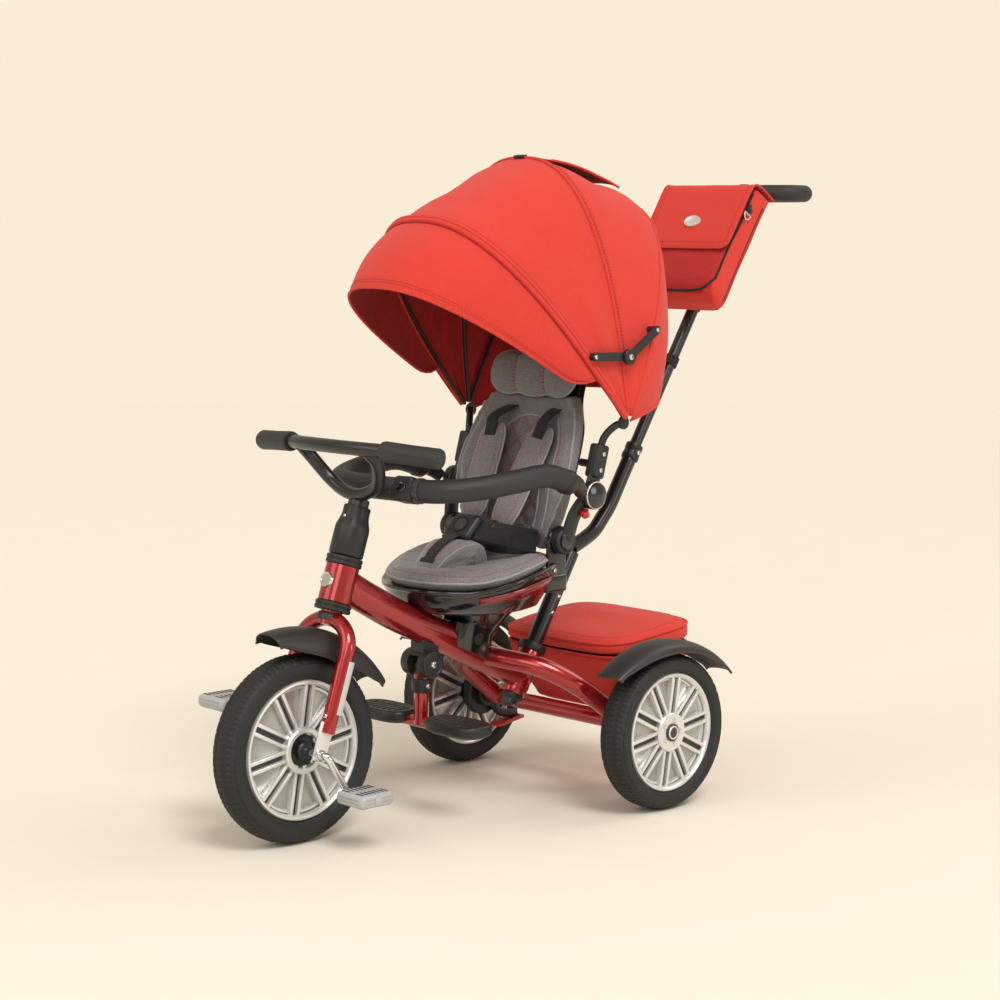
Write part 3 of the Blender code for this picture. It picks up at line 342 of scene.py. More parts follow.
def form(name, size, place, material, bevel=0.002, segments=3):
    # a rounded block; place is a point or a whole matrix
    bm = bmesh.new()
    bmesh.ops.create_cube(bm, size=1.0)
    bmesh.ops.scale(bm, vec=size, verts=bm.verts)
    bmesh.ops.bevel(bm, geom=bm.edges[:], offset=bevel, segments=segments, affect="EDGES", profile=0.5)
    matrix = place if isinstance(place, Matrix) else Matrix.Translation(place)
    bmesh.ops.transform(bm, matrix=matrix, verts=bm.verts)
    return asObject(name, bm, material)


def facing(place, direction, spin=0.0):
    turn = Vector((0.0, 0.0, 1.0)).rotation_difference(Vector(direction)).to_matrix().to_4x4()
    return Matrix.Translation(place) @ turn @ Matrix.Rotation(spin, 4, "Z")


def screwHead(name, place, direction, radius, material, body=None):
    # domed head with a cross recess drawn as raised black bars: painted shade in the recess
    head = lathe(name, [(0.0, radius * 0.55), (radius * 0.5, radius * 0.5), (radius * 0.9, radius * 0.25),
                        (radius, 0.0), (radius, -radius * 0.3)], place, direction, material, steps=28)
    cross = [form(name + "_slot", (radius * 1.1, radius * 0.22, radius * 0.1),
                  facing(Vector(place) + Vector(direction).normalized() * radius * 0.52, direction, spin),
                  matteBlack, bevel=radius * 0.02, segments=1) for spin in (0.5, 0.5 + math.pi / 2)]
    piece = join(name, [head] + cross)
    return put(piece, body) if body else piece


def stitchRow(name, path, normals, material, dash=0.0034, gap=0.0022, radius=0.00048, lift=0.0002):
    # short thread dashes that lie on the cloth
    bm = bmesh.new()
    walked, target = 0.0, 0.0
    for i in range(len(path) - 1):
        a, b = path[i], path[i + 1]
        length = (b - a).length
        while length > 1e-9 and target < walked + length:
            t = (target - walked) / length
            place = a.lerp(b, t) + normals[i].lerp(normals[i + 1], t) * lift
            along = (b - a).normalized()
            out = normals[i].normalized()
            across = along.cross(out)
            rings = []
            for u, scale in ((-0.5, 0.35), (-0.36, 1.0), (0.36, 1.0), (0.5, 0.35)):
                rings.append([bm.verts.new(place + along * dash * u + (across * math.cos(q) + out * math.sin(q))
                                           * radius * scale) for q in (math.pi / 3 * k for k in range(6))])
            for r1, r2 in zip(rings, rings[1:]):
                for k in range(6):
                    bm.faces.new((r1[k], r1[(k + 1) % 6], r2[(k + 1) % 6], r2[k]))
            bm.faces.new(rings[0])
            bm.faces.new(rings[-1])
            target += dash + gap
        walked += length
    return asObject(name, bm, material)


def landOn(obj, points, direction):
    # drops points along a direction onto a finished surface
    bm = bmesh.new()
    bm.from_mesh(obj.data)
    bm.transform(obj.matrix_world)
    tree = BVHTree.FromBMesh(bm)
    bm.free()
    ray = Vector(direction).normalized()
    found, normals = [], []
    for p in points:
        hit = tree.ray_cast(Vector(p) - ray * 0.15, ray)
        if hit[0] is None:
            hit = tree.find_nearest(Vector(p))
        normal = hit[1] if hit[1].dot(ray) < 0 else -hit[1]
        found.append(hit[0])
        normals.append(normal)
    return found, normals


def swell(obj, pressure, cap, voxel=0.005):
    # inflates a pad by cloth simulation, with each point's travel capped
    remesh = obj.modifiers.new("remesh", "REMESH")
    remesh.mode = "VOXEL"
    remesh.voxel_size = voxel
    freeze(obj)
    rest = [v.co.copy() for v in obj.data.vertices]
    fabric = obj.modifiers.new("fabric", "CLOTH")
    fabric.settings.use_pressure = True
    fabric.settings.uniform_pressure_force = pressure
    fabric.settings.effector_weights.gravity = 0.0
    fabric.settings.mass = 0.25
    fabric.settings.tension_stiffness = 25.0
    fabric.settings.compression_stiffness = 25.0
    fabric.point_cache.frame_start, fabric.point_cache.frame_end = 1, 20
    for step in range(1, 21):
        bpy.context.scene.frame_set(step)
    freeze(obj)
    for vertex, start in zip(obj.data.vertices, rest):
        move = vertex.co - start
        if move.length > cap:
            vertex.co = start + move.normalized() * cap
    bpy.context.scene.frame_set(1)
    smooth = obj.modifiers.new("smooth", "SMOOTH")
    smooth.iterations = 6
    finer = obj.modifiers.new("finer", "SUBSURF")
    finer.levels = finer.render_levels = 1
    freeze(obj)
    obj.data.shade_smooth()
    return obj


def webStrip(name, points, width, normals, material=None, thickness=0.0016, steps=6):
    # flat webbing that follows a path, its broad face along the normals
    path = smoothPath(points, steps)
    outs = smoothPath(normals, steps)
    rows = []
    for i, place in enumerate(path):
        along = (path[min(i + 1, len(path) - 1)] - path[max(i - 1, 0)]).normalized()
        out = (outs[i] - along * outs[i].dot(along)).normalized()
        across = along.cross(out)
        section = [(-0.5, -0.5), (-0.5, 0.1), (-0.46, 0.5), (-0.2, 0.42), (0.2, 0.42), (0.46, 0.5),
                (0.5, 0.1), (0.5, -0.5)]
        rows.append([place + across * u * width + out * v * thickness for u, v in section])
    return skin(name, rows, material or webbing, closeRow=True, capStart=True, capEnd=True)


# camera, lights and floor
camera = bpy.data.objects.new("camera", bpy.data.cameras.new("camera"))
camera.data.lens, camera.data.sensor_width = 84.4524, 36.0
camera.location, camera.rotation_euler = (2.7825, -2.7777, 0.9518), (1.45578, -0.00824, 0.79996)
bpy.context.scene.collection.objects.link(camera)
bpy.context.scene.camera = camera
lightPlan = {"key": ((2.6, -0.9, 3.5), 24.0, 1.62), "fill": ((-0.9, -3.2, 2.2), 40.0, 0.55),
        "rim": ((0.6, 3.0, 3.4), 30.0, 0.45)}
for lightName, (place, softness, power) in lightPlan.items():
    lamp = bpy.data.objects.new(lightName, bpy.data.lights.new(lightName, "SUN"))
    lamp.data.angle, lamp.data.energy = math.radians(softness), power
    lamp.data.color = (1.0, 0.975, 0.94)
    lamp.location = place
    lamp.rotation_euler = (-Vector(place)).to_track_quat("-Z", "Y").to_euler()
    bpy.context.scene.collection.objects.link(lamp)
for panelName, place, size, power in (("softbox", (2.2, -3.4, 2.4), 1.8, 26.0),
        ("strip", (3.4, 1.0, 1.2), 1.2, 14.0)):
    lamp = bpy.data.objects.new(panelName, bpy.data.lights.new(panelName, "AREA"))
    lamp.data.size, lamp.data.energy = size, power
    lamp.location = place
    lamp.rotation_euler = (Vector((0.0, 0.0, 0.5)) - Vector(place)).to_track_quat("-Z", "Y").to_euler()
    bpy.context.scene.collection.objects.link(lamp)
world = bpy.data.worlds.new("studio")
bpy.context.scene.world = world
world.use_nodes = True
backdrop = world.node_tree.nodes["Background"]
backdrop.inputs["Color"].default_value = (0.947, 0.847, 0.685, 1.0)
dimmer = world.node_tree.nodes.new("ShaderNodeMapRange")
dimmer.inputs["To Min"].default_value, dimmer.inputs["To Max"].default_value = 0.60, 1.0
rays = world.node_tree.nodes.new("ShaderNodeLightPath")
world.node_tree.links.new(rays.outputs["Is Camera Ray"], dimmer.inputs["Value"])
world.node_tree.links.new(dimmer.outputs["Result"], backdrop.inputs["Strength"])
bpy.context.scene.view_settings.view_transform = "Standard"
floorFinish = hardFinish("paleFloor", (0.806, 0.764, 0.690), 0.9, second=(0.799, 0.757, 0.683), bump=0.01,
        specular=0.0)
floor = lathe("floor", [(0.0, -0.0005), (9.0, -0.0005)], (0.0, 0.0, 0.0), (0.0, 0.0, 1.0), floorFinish,
        steps=96)
print("camera, lights and floor set")


# tyres and wheels
frontWheel = {"radius": 0.148, "rim": 0.110, "half": 0.027, "segments": 300, "face": 0.0225}
rearWheel = {"radius": 0.130, "rim": 0.0985, "half": 0.027, "segments": 264, "face": 0.0215}


def makeTyre(name, centre, plan):
    rows = []
    middle = (plan["radius"] + plan["rim"] - 0.003) / 2
    tall = (plan["radius"] - plan["rim"] + 0.003) / 2
    for i in range(plan["segments"]):
        turn = 2 * math.pi * i / plan["segments"]
        out = Vector((0.0, math.sin(turn), math.cos(turn)))
        row = []
        for k in range(48):
            a = 2 * math.pi * k / 48
            c, s = math.cos(a), math.sin(a)
            x = plan["half"] * math.copysign(abs(c) ** (2 / 2.6), c)
            r = middle + tall * math.copysign(abs(s) ** (2 / 2.6), s)
            if s > 0.62:
                if i % 3 == 2 or abs(abs(c) - 0.30) < 0.05:
                    r -= 0.0022
            elif s > 0.30 and i % 6 in (4, 5):
                x *= 0.962
            row.append(centre + Vector((x, 0.0, 0.0)) + out * r)
        rows.append(row)
    piece = skin(name, rows, tyreRubber, closeRow=True, closeAll=True)
    lines = [lathe(name + "_line", [(r, x), (r + 0.0007, x + sign * 0.0006), (r + 0.0014, x)], centre,
            (1, 0, 0),
                   tyreRubber, steps=120) for sign in (1, -1) for r, x in
             ((middle + tall * 0.38, sign * plan["half"] * 0.965),
                     (middle - tall * 0.55, sign * plan["half"] * 0.93))]
    return join(name, [piece] + lines)


def spokePlate(name, centre, inner, outer, width, offset, turn, x, thick, material, bevel):
    out = Vector((0.0, math.sin(turn), math.cos(turn)))
    across = Vector((0.0, math.cos(turn), -math.sin(turn)))
    middle = centre + out * (inner + outer) / 2 + across * offset + Vector((x, 0.0, 0.0))
    place = Matrix.Translation(middle) @ Matrix((Vector((1, 0, 0)), across, out)).transposed().to_4x4()
    return form(name, (thick, width, outer - inner), place, material, bevel, 2)


def makeWheel(prefix, centre, plan, body, rimNode, tyreNode, faces):
    put(makeTyre(prefix + "_tyre_tread", centre, plan), body, tyreNode)
    rim, face = plan["rim"], plan["face"]
    edge = rim - 0.0005
    lip = []
    for sign in (1, -1):
        lip.append(lathe(prefix + "_lip", [(edge - 0.0080, sign * (face - 0.006)),
                (edge - 0.0066, sign * (face - 0.001)),
                   (edge - 0.004, sign * (face + 0.0012)), (edge - 0.0008, sign * (face + 0.0006)),
                   (edge + 0.001, sign * (face - 0.003))],
                   centre, (1, 0, 0), silverPaint, steps=120))
        lip.append(lathe(prefix + "_dish", [(0.022, sign * 0.0130), (0.040, sign * 0.0125),
                (rim * 0.62, sign * 0.0090), (rim * 0.86, sign * 0.0080),
                   (edge - 0.0085, sign * 0.0110), (edge - 0.0075, sign * (face - 0.005))], centre, (1, 0, 0),
                   dishSilver, steps=120))
        lip.append(lathe(prefix + "_step", [(rim * 0.855, sign * 0.0083), (rim * 0.875, sign * 0.0125),
                (rim * 0.905, sign * 0.0128), (rim * 0.92, sign * 0.0100)],
                   centre, (1, 0, 0), silverPaint, steps=120))
    put(join(prefix + "_rim_shell", lip), body, rimNode)
    bars = []
    for sign in faces:
        for k in range(10):
            turn = 2 * math.pi * (k + 0.25) / 10
            for offset in (-0.0072, 0.0072):
                bars.append(spokePlate(prefix + "_bar", centre, 0.024, edge - 0.003, 0.0062, offset, turn,
                                       sign * (face - 0.0085), 0.0125, silverPaint, 0.0016))
            # dark grey plate between the twin bars: painted shade in the channel
            bars.append(spokePlate(prefix + "_groove_shade", centre, 0.024, edge - 0.006, 0.0090, 0.0, turn,
                                   sign * (face - 0.0125), 0.0080, darkGreyAndGrooveShade, 0.0008))
    put(join(prefix + "_spokes", bars), body)


def makeWheels():
    plan = frontWheel
    makeWheel("front", frontHub, plan, "front_wheel", "front_rim", "front_tyre", (1, -1))
    hub = []
    for sign in (1, -1):
        hub.append(lathe("front_hub_ring", [(0.0375, sign * 0.012), (0.0370, sign * 0.0250),
                (0.0350, sign * 0.0270), (0.0295, sign * 0.0270), (0.0278, sign * 0.0255),
                   (0.0270, sign * 0.0170)], frontHub, (1, 0, 0), silverPaint, steps=96))
        hub.append(lathe("front_hub_cup", [(0.0275, sign * 0.0190), (0.0230, sign * 0.0165),
                (0.0150, sign * 0.0175), (0.0145, sign * 0.0260), (0.0120, sign * 0.0285),
                (0.0060, sign * 0.0290)],
                   frontHub, (1, 0, 0), matteBlack, steps=72))
    put(join("front_hub_caps", hub), "front_wheel")
    for side, sign in bothSides:
        centre = rearAxle + Vector((sign * 0.239, 0.0, 0.0))
        body = "rear_wheel_" + side
        makeWheel("rear_" + side, centre, rearWheel, body, "rear_rim_" + side, "rear_tyre_" + side, (1, -1))
        hub = [lathe("hub_disc", [(0.0325, sign * 0.008), (0.0325, sign * 0.0205), (0.0305, sign * 0.0225),
                (0.0240, sign * 0.0215), (0.0150, sign * 0.0225), (0.0, sign * 0.0225)],
                     centre, (1, 0, 0), silverPaint, steps=96),
               lathe("hub_cap", [(0.0150, sign * 0.0220), (0.0148, sign * 0.0245), (0.0128, sign * 0.0262),
               (0.0110, sign * 0.0255), (0.0, sign * 0.0258)],
                     centre, (1, 0, 0), darkGreyAndGrooveShade, steps=64),
               lathe("cap_ring", [(0.0118, sign * 0.0256), (0.0110, sign * 0.0268), (0.0092, sign * 0.0268),
               (0.0086, sign * 0.0256)],
                     centre, (1, 0, 0), silverPaint, steps=64)]
        for k in range(5):
            a = 2 * math.pi * k / 5 + 0.3
            place = centre + Vector((sign * 0.0215, math.sin(a) * 0.0200, math.cos(a) * 0.0200))
            hub.append(lathe("hub_nut", [(0.0038, sign * -0.001), (0.0038, sign * 0.0022),
                    (0.0030, sign * 0.0030), (0.0, sign * 0.0028)], place, (1, 0, 0), chrome, steps=6))
        put(join("rear_hub_" + side, hub), body)
    print("wheels made")


# fork, head, handlebar and pedals
steering = {"legX": 0.058, "legR": 0.0125, "archRise": 0.047, "gripLength": 0.105}


def steered(points):
    return [steerTurn @ Vector(p) for p in points]


def makeSteering():
    leg, rise = steering["legX"], steering["archRise"]
    arc = [(leg * math.cos(a), 0.0,
            0.160 + rise * math.sin(a)) for a in (math.radians(7.5 * k) for k in range(25))]
    path = [(leg, 0.0, 0.034), (leg, 0.0, 0.080), (leg, 0.0, 0.125)] + arc + [(-leg, 0.0, 0.125),
            (-leg, 0.0, 0.080), (-leg, 0.0, 0.034)]
    fork = [pipe("fork_arch", steered(path), steering["legR"], candyRed, sides=28, steps=2, up=(0, -1, 0.3),
            rounded=0.002),
            lathe("fork_neck", [(0.0, 0.195), (0.0165, 0.196), (0.0172, 0.2180), (0.0172, 0.30), (0.0, 0.30)],
            steerBase,
                  onSteering(1) - onSteering(0), candyRed, steps=48)]
    put(join("fork_smooth", fork), "steering", "fork")
    for side, sign in bothSides:
        bits = [form("fork_end_plate", (0.0052, 0.027, 0.062),
                steerTurn @ Matrix.Translation((sign * leg, -0.003, 0.018)), silverPaint, 0.0022),
                lathe("axle_nut", [(0.0, 0.0095), (0.0058, 0.0090), (0.0078, 0.0065), (0.0082, 0.0028),
                (0.0105, 0.0026), (0.0105, 0.0)],
                      frontHub + Vector((sign * (leg + 0.0026), 0, 0)), (sign, 0, 0), chrome, steps=30)]
        put(join("fork_end_" + side, bits), "steering")
        screwHead("fork_screw_" + side, steerTurn @ Vector((sign * leg, -0.0122, 0.058)),
                steerTurn.to_3x3() @ Vector((0, -1, 0)), 0.0042, chrome, "steering")
        put(form("fork_reflector_" + side, (0.0026, 0.011, 0.085),
                steerTurn @ Matrix.Translation((sign * (leg + 0.0118), 0.0048, 0.105)), silverFilm, 0.0012),
                "steering")
    up = onSteering(1) - onSteering(0)
    sleeve = [(0.0172, 0.3080), (0.0262, 0.3080), (0.0275, 0.3100), (0.0275, 0.350), (0.0268, 0.3560),
            (0.0240, 0.3640), (0.0225, 0.3690), (0.0216, 0.3740),
              (0.0215, 0.386), (0.0205, 0.388), (0.0172, 0.388)]
    put(lathe("steering_sleeve_smooth", sleeve, steerBase, up, matteBlack), "steering", "steering_sleeve")
    ring = [(0.0190, 0.0), (0.0275, 0.0), (0.0290, 0.0014), (0.0290, 0.0058), (0.0278, 0.0066),
            (0.0278, 0.0076), (0.0290, 0.0084), (0.0290, 0.0126), (0.0275, 0.014), (0.0190, 0.014)]
    for part, height in (("headset_ring_lower", 0.2187), ("headset_ring_upper", 0.2925)):
        put(lathe(part + "_smooth", ring, onSteering(height), up, matteBlack), "frame", part)
    ends = [Vector((s * 0.212, -0.401, 0.608)) for s in (1.0, -1.0)]
    inner = [Vector((s * 0.111, -0.425, 0.614)) for s in (1.0, -1.0)]
    bar = [ends[0], ends[0].lerp(inner[0], 0.5), inner[0], (0.060, -0.438, 0.6155), (0.0, -0.443, 0.616),
            (-0.060, -0.438, 0.6155), inner[1],
           ends[1].lerp(inner[1], 0.5), ends[1]]
    brace = [(0.080, -0.432, 0.612), (0.078, -0.410, 0.590), (0.056, -0.390, 0.556), (0.020, -0.387, 0.538),
             (-0.020, -0.387, 0.538), (-0.056, -0.390, 0.556), (-0.078, -0.410, 0.590),
             (-0.080, -0.432, 0.612)]
    bars = [pipe("bar", bar, 0.011, satinBlack, sides=24, steps=6),
            pipe("bar_brace", brace, 0.0105, satinBlack, sides=22, steps=6),
            lathe("bar_stem", [(0.0, 0.331), (0.0168, 0.332), (0.0168, 0.399), (0.0150, 0.4005),
            (0.0, 0.4005)], steerBase, up, satinBlack)]
    put(join("handlebar_smooth", bars), "steering", "handlebar")
    for (side, sign), end, start in zip(bothSides, ends, inner):
        length = steering["gripLength"]
        profile = [(0.0, 0.0012), (0.0120, 0.0010), (0.0150, -0.0006), (0.0160, -0.0040),
                (0.0155, -length * 0.5), (0.0160, -length + 0.004), (0.0150, -length), (0.0112, -length)]
        bits = [lathe("grip_body", profile, end, end - start, foamGrey, steps=64),
                lathe("grip_plug", [(0.0, 0.0022), (0.0075, 0.0020), (0.0085, 0.0008)], end, end - start,
                matteBlack, steps=40)]
        put(join("grip_foam_" + side, bits), "steering", "grip_" + side)
    screwHead("stem_screw", onSteering(0.368, 0.0218), steerTurn.to_3x3() @ Vector((0, -1, 0)), 0.0036,
            chrome, "steering")
    # plain disc on the head tube
    out = steerTurn.to_3x3() @ Vector((0, -1, 0))
    disc = lathe("head_disc", [(0.0, 0.0022), (0.0095, 0.0020), (0.0105, 0.0028), (0.0118, 0.0026),
            (0.0126, 0.0008), (0.0126, -0.003)],
                 onSteering(0.2640, 0.0262), out, chrome, steps=56)
    put(disc, "frame")
    print("steering made")


def makePedals():
    down = Vector((0.0, math.cos(math.radians(-57)), math.sin(math.radians(-57))))
    arm = down * 0.075
    pts = [Vector((0.148, 0, 0)) + arm, Vector((0.110, 0, 0)) + arm, Vector((0.088, 0, 0)) + arm,
            Vector((0.0795, 0, 0)) + arm - down * 0.004,
           Vector((0.0780, 0, 0)) + arm - down * 0.018, Vector((0.0780, 0, 0)) + down * 0.020,
           Vector((0.0775, 0, 0)) + down * 0.006, Vector((0.070, 0, 0)), Vector((0.04, 0, 0))]
    path = pts + [-p for p in reversed(pts)]
    put(pipe("crank_rod", [frontHub + p for p in path], 0.006, chrome, sides=24, steps=6, rounded=0.001),
            "front_wheel", "crank")
    for side, sign in bothSides:
        centre = frontHub + sign * (arm + Vector((0.120, 0.0, 0.0)))
        body = "pedal_" + side
        base = form("pedal_block", (0.066, 0.067, 0.0215), centre, pedalGrey, 0.0085, 6)
        bits = [base]
        holes = []
        for i in range(7):
            for j, wide in ((-1, 0.0145), (1, 0.0145)):
                y = -0.0245 + 0.0082 * i
                holes.append((Vector((j * 0.0155, y, 0.0107)), wide))
        for place, wide in holes:
            for top in (1, -1):
                spot = centre + Vector((place.x, place.y, place.z * top))
                bits.append(form("pedal_slot", (wide, 0.0040, 0.0007), spot, matteBlack, 0.0003, 1))
                for end in (-1, 1):
                    bits.append(lathe("slot_end", [(0.0, 0.00035), (0.0020, 0.00035)],
                            spot + Vector((end * wide / 2, 0, 0)), (0, 0, top), matteBlack, steps=14))
        for face in (1, -1):
            for z in (-0.0052, 0.0, 0.0052):
                bits.append(form("pedal_rib", (0.050, 0.0020, 0.0022), centre + Vector((0, face * 0.0335, z)),
                        pedalGrey, 0.0008, 2))
                bits.append(form("pedal_rib", (0.0020, 0.052, 0.0022), centre + Vector((face * 0.0330, 0, z)),
                        pedalGrey, 0.0008, 2))
        bits.append(lathe("pedal_boss", [(0.0, 0.0062), (0.0052, 0.0060), (0.0085, 0.0040), (0.0085, -0.004)],
                centre + Vector((sign * 0.0300, 0, 0)), (sign, 0, 0), pedalGrey, steps=36))
        put(join("pedal_smooth_" + side, bits), body, "pedal_" + side)
    print("pedals made")


# frame, footrest and brakes
framePlan = {"main": [(0.0, -0.405, 0.392), (0.0, -0.360, 0.366), (0.0, -0.300, 0.334), (0.0, -0.214, 0.2945),
        (0.0, -0.141, 0.2605), (0.0, -0.085, 0.235), (0.0, -0.018, 0.2037)],
             "mainR": 0.0265, "flat": 0.83,
             "arm": [(0.006, -0.112, 0.248), (0.050, -0.098, 0.244), (0.100, -0.067, 0.233),
             (0.137, -0.025, 0.205), (0.150, 0.030, 0.165), (0.150, 0.076, 0.131)]}


def makeFrame():
    up = onSteering(1) - onSteering(0)
    bits = [pipe("main_tube", framePlan["main"], framePlan["mainR"], candyRed, sides=36, steps=6,
            oval=(framePlan["flat"], 1.0), up=(0, 0, 1), rounded=0.004),
            lathe("head_tube", [(0.018, 0.233), (0.0258, 0.233), (0.0265, 0.2338), (0.0265, 0.2914),
            (0.0258, 0.2922), (0.018, 0.2922)], steerBase, up, candyRed),
            pipe("axle_tube", [(-0.1825, 0.076, 0.130), (0.0, 0.076, 0.130), (0.1825, 0.076, 0.130)], 0.0145,
            candyRed, sides=28, steps=2, rounded=0.001),
            pipe("post_socket", [postPoint(0.182), postPoint(0.238)], 0.0215, candyRed, sides=40, steps=0,
            rounded=0.0008)]
    for side, sign in bothSides:
        bits.append(pipe("rear_arm", [(sign * x, y, z) for x, y, z in framePlan["arm"]], 0.0165, candyRed,
                sides=28, steps=7))
        bits.append(pipe("weld_bead", [(sign * (0.1500 + 0.0168 * math.cos(a)),
                0.076 + 0.0148 * math.sin(a) * 0.2 - 0.012,
                0.139 + 0.0148 * math.sin(a)) for a in (2 * math.pi * k / 20 for k in range(20))],
                         0.0014, candyRed, sides=8, steps=1, cyclic=True))
    bead = [onSteering(0.2622 + 0.026 * math.cos(a),
            -0.0180 - 0.004 * math.sin(a) ** 2) + Vector((0.0195 * math.sin(a), 0,
            0)) for a in (2 * math.pi * k / 28 for k in range(28))]
    bits.append(pipe("head_weld", bead, 0.0016, candyRed, sides=8, steps=1, cyclic=True))
    put(join("frame_smooth", bits), "frame", "frame")
    put(pipe("rear_axle_rod", [(-0.2595, 0.076, 0.130), (0.2595, 0.076, 0.130)], 0.005, chrome, sides=24,
            steps=0, rounded=0.001), "frame", "rear_axle")
    put(pipe("push_post_tube", [postPoint(0.156), postPoint(0.400)], 0.014, satinBlack, sides=36, steps=0,
            rounded=0.001), "frame", "push_post")
    along = postPoint(1) - postPoint(0)
    collar = lathe("post_collar", [(0.0142, 0.0), (0.0235, 0.0), (0.0243, 0.0014), (0.0243, 0.0115),
            (0.0230, 0.0140), (0.0175, 0.0150), (0.0142, 0.0150)], postPoint(0.2385), along, matteBlack)
    stub = lathe("post_stub", [(0.0, -0.004), (0.0195, -0.004), (0.0205, -0.002), (0.0205, 0.012)],
            postPoint(0.174), along, candyRed)
    cap = lathe("post_cap", [(0.0, -0.0150), (0.0060, -0.0145), (0.0075, -0.0120), (0.0080, -0.0060),
            (0.0150, -0.0050), (0.0180, -0.0020), (0.0180, 0.004), (0.0, 0.004)], postPoint(0.166), along,
            matteBlack)
    put(join("post_fittings", [collar, stub, cap]), "frame")
    for z in (0.302, 0.328):
        screwHead("post_screw_%d" % (z * 1000), postPoint(z) + Vector((0.0140, 0.0, 0.0)), (1, 0, 0), 0.0048,
                chrome, "frame")
        screwHead("post_screw_far_%d" % (z * 1000), postPoint(z) + Vector((-0.0140, 0.0, 0.0)), (-1, 0, 0),
                0.0048, chrome, "frame")
    # footrest
    pivot = Vector((0.0, -0.244, 0.250))
    for side, sign in bothSides:
        bits = [lathe("hinge_disc", [(0.0225, -0.012), (0.0225, 0.0), (0.0215, 0.0016), (0.0180, 0.0020),
                (0.0165, 0.0008), (0.0110, 0.0008), (0.0, 0.0008)], pivot + Vector((sign * 0.0270, 0, 0)),
                (sign, 0, 0), matteBlack)]
        put(join("hinge_cap_" + side, bits), "frame")
        screwHead("hinge_screw_" + side, pivot + Vector((sign * 0.0280, 0, 0)), (sign, 0, 0), 0.0062, chrome,
                "frame")
    down = Vector((0, -0.01, -1)).normalized()
    bits = [pipe("foot_tube", [pivot + Vector((0, 0, -0.018)), pivot + Vector((0, -0.001, -0.101))], 0.0125,
            candyRed, sides=28, steps=0, rounded=0.001),
            lathe("foot_collar", [(0.0126, 0.026), (0.0155, 0.026), (0.0165, 0.0275), (0.0165, 0.0465),
            (0.0155, 0.048), (0.0126, 0.048)], pivot, down, matteBlack),
            form("foot_ear", (0.0215, 0.022, 0.034), pivot + Vector((0, 0, -0.016)), matteBlack, 0.004),
            pipe("foot_cross", [pivot + Vector((-0.0595, -0.001, -0.098)),
            pivot + Vector((0.0595, -0.001, -0.098))], 0.0095, candyRed, sides=22, steps=0, rounded=0.001)]
    put(join("footrest_stalk", bits), "footrest", "footrest_arm")
    screwHead("collar_screw", pivot + Vector((0.0160, -0.001, -0.037)), (1, 0, 0), 0.0042, chrome, "footrest")
    for side, sign in bothSides:
        centre = pivot + Vector((sign * 0.087, 0.0, -0.094))
        rows = []
        for z, grow, power in ((-0.0105, -0.013, 3.0), (-0.0100, -0.0075, 3.2), (-0.0070, -0.0025, 3.2),
                (-0.0020, 0.0, 3.2), (0.0050, 0.0, 3.2), (0.0085, -0.0010, 3.2), (0.0105, -0.0035, 3.2),
                (0.0108, -0.0060, 3.2), (0.0096, -0.0085, 3.2), (0.0094, -0.016, 3.0), (0.0098, -0.030, 2.6)):
            rows.append([centre + Vector(((0.060 + grow) * math.copysign(abs(math.cos(a)) ** (2 / power),
                    math.cos(a)), (0.036 + grow) * math.copysign(abs(math.sin(a)) ** (2 / power),
                    math.sin(a)), z))
                         for a in (2 * math.pi * k / 56 for k in range(56))])
        bits = [skin("pad_body", rows, matteBlack, closeRow=True, capStart=True, capEnd=True),
                pipe("pad_bulge", [centre + Vector((-0.038, 0, -0.0045)),
                centre + Vector((0.038, 0, -0.0045))], 0.0150, matteBlack, sides=28, steps=3,
                oval=(1.0, 0.46), up=(0, 0, 1), rounded=0.006)]
        for i in range(-3, 4):
            bits.append(form("pad_rib", (0.0026, 0.044 - abs(i) * 0.004, 0.0016),
                    centre + Vector((i * 0.0125, 0, 0.0098)), matteBlack, 0.0006, 2))
        put(join("foot_pad_smooth_" + side, bits), "footrest", "foot_pad_" + side)
    # brakes
    for side, sign in bothSides:
        hub = rearAxle + Vector((sign * 0.176, 0, 0))
        bits = [lathe("brake_ring", [(0.0152, -0.005), (0.0210, -0.005), (0.0215, -0.004), (0.0215, 0.004),
                (0.0210, 0.005), (0.0152, 0.005)], hub, (1, 0, 0), matteBlack),
                pipe("brake_stem", [hub + Vector((0, 0.010, -0.0165)), hub + Vector((0, 0.028, -0.036)),
                hub + Vector((0, 0.066, -0.044))], 0.0075, matteBlack, sides=18, steps=6, rounded=0.002),
                form("brake_shoe", (0.026, 0.064, 0.0065),
                Matrix.Translation(hub + Vector((0, 0.048, -0.054))) @ Matrix.Rotation(math.radians(8), 4,
                "X"), buttonRed, 0.0026, 4)]
        for i in range(-2, 3):
            bits.append(form("brake_grip", (0.019, 0.0020, 0.0014),
                    Matrix.Translation(hub + Vector((0, 0.048, -0.054))) @ Matrix.Rotation(math.radians(8), 4,
                    "X") @ Matrix.Translation((0, i * 0.010, 0.0032)), buttonRed, 0.0005, 2))
        put(join("brake_pedal_" + side, bits), "brake_lever_" + side, "brake_lever_" + side)
    print("frame made")


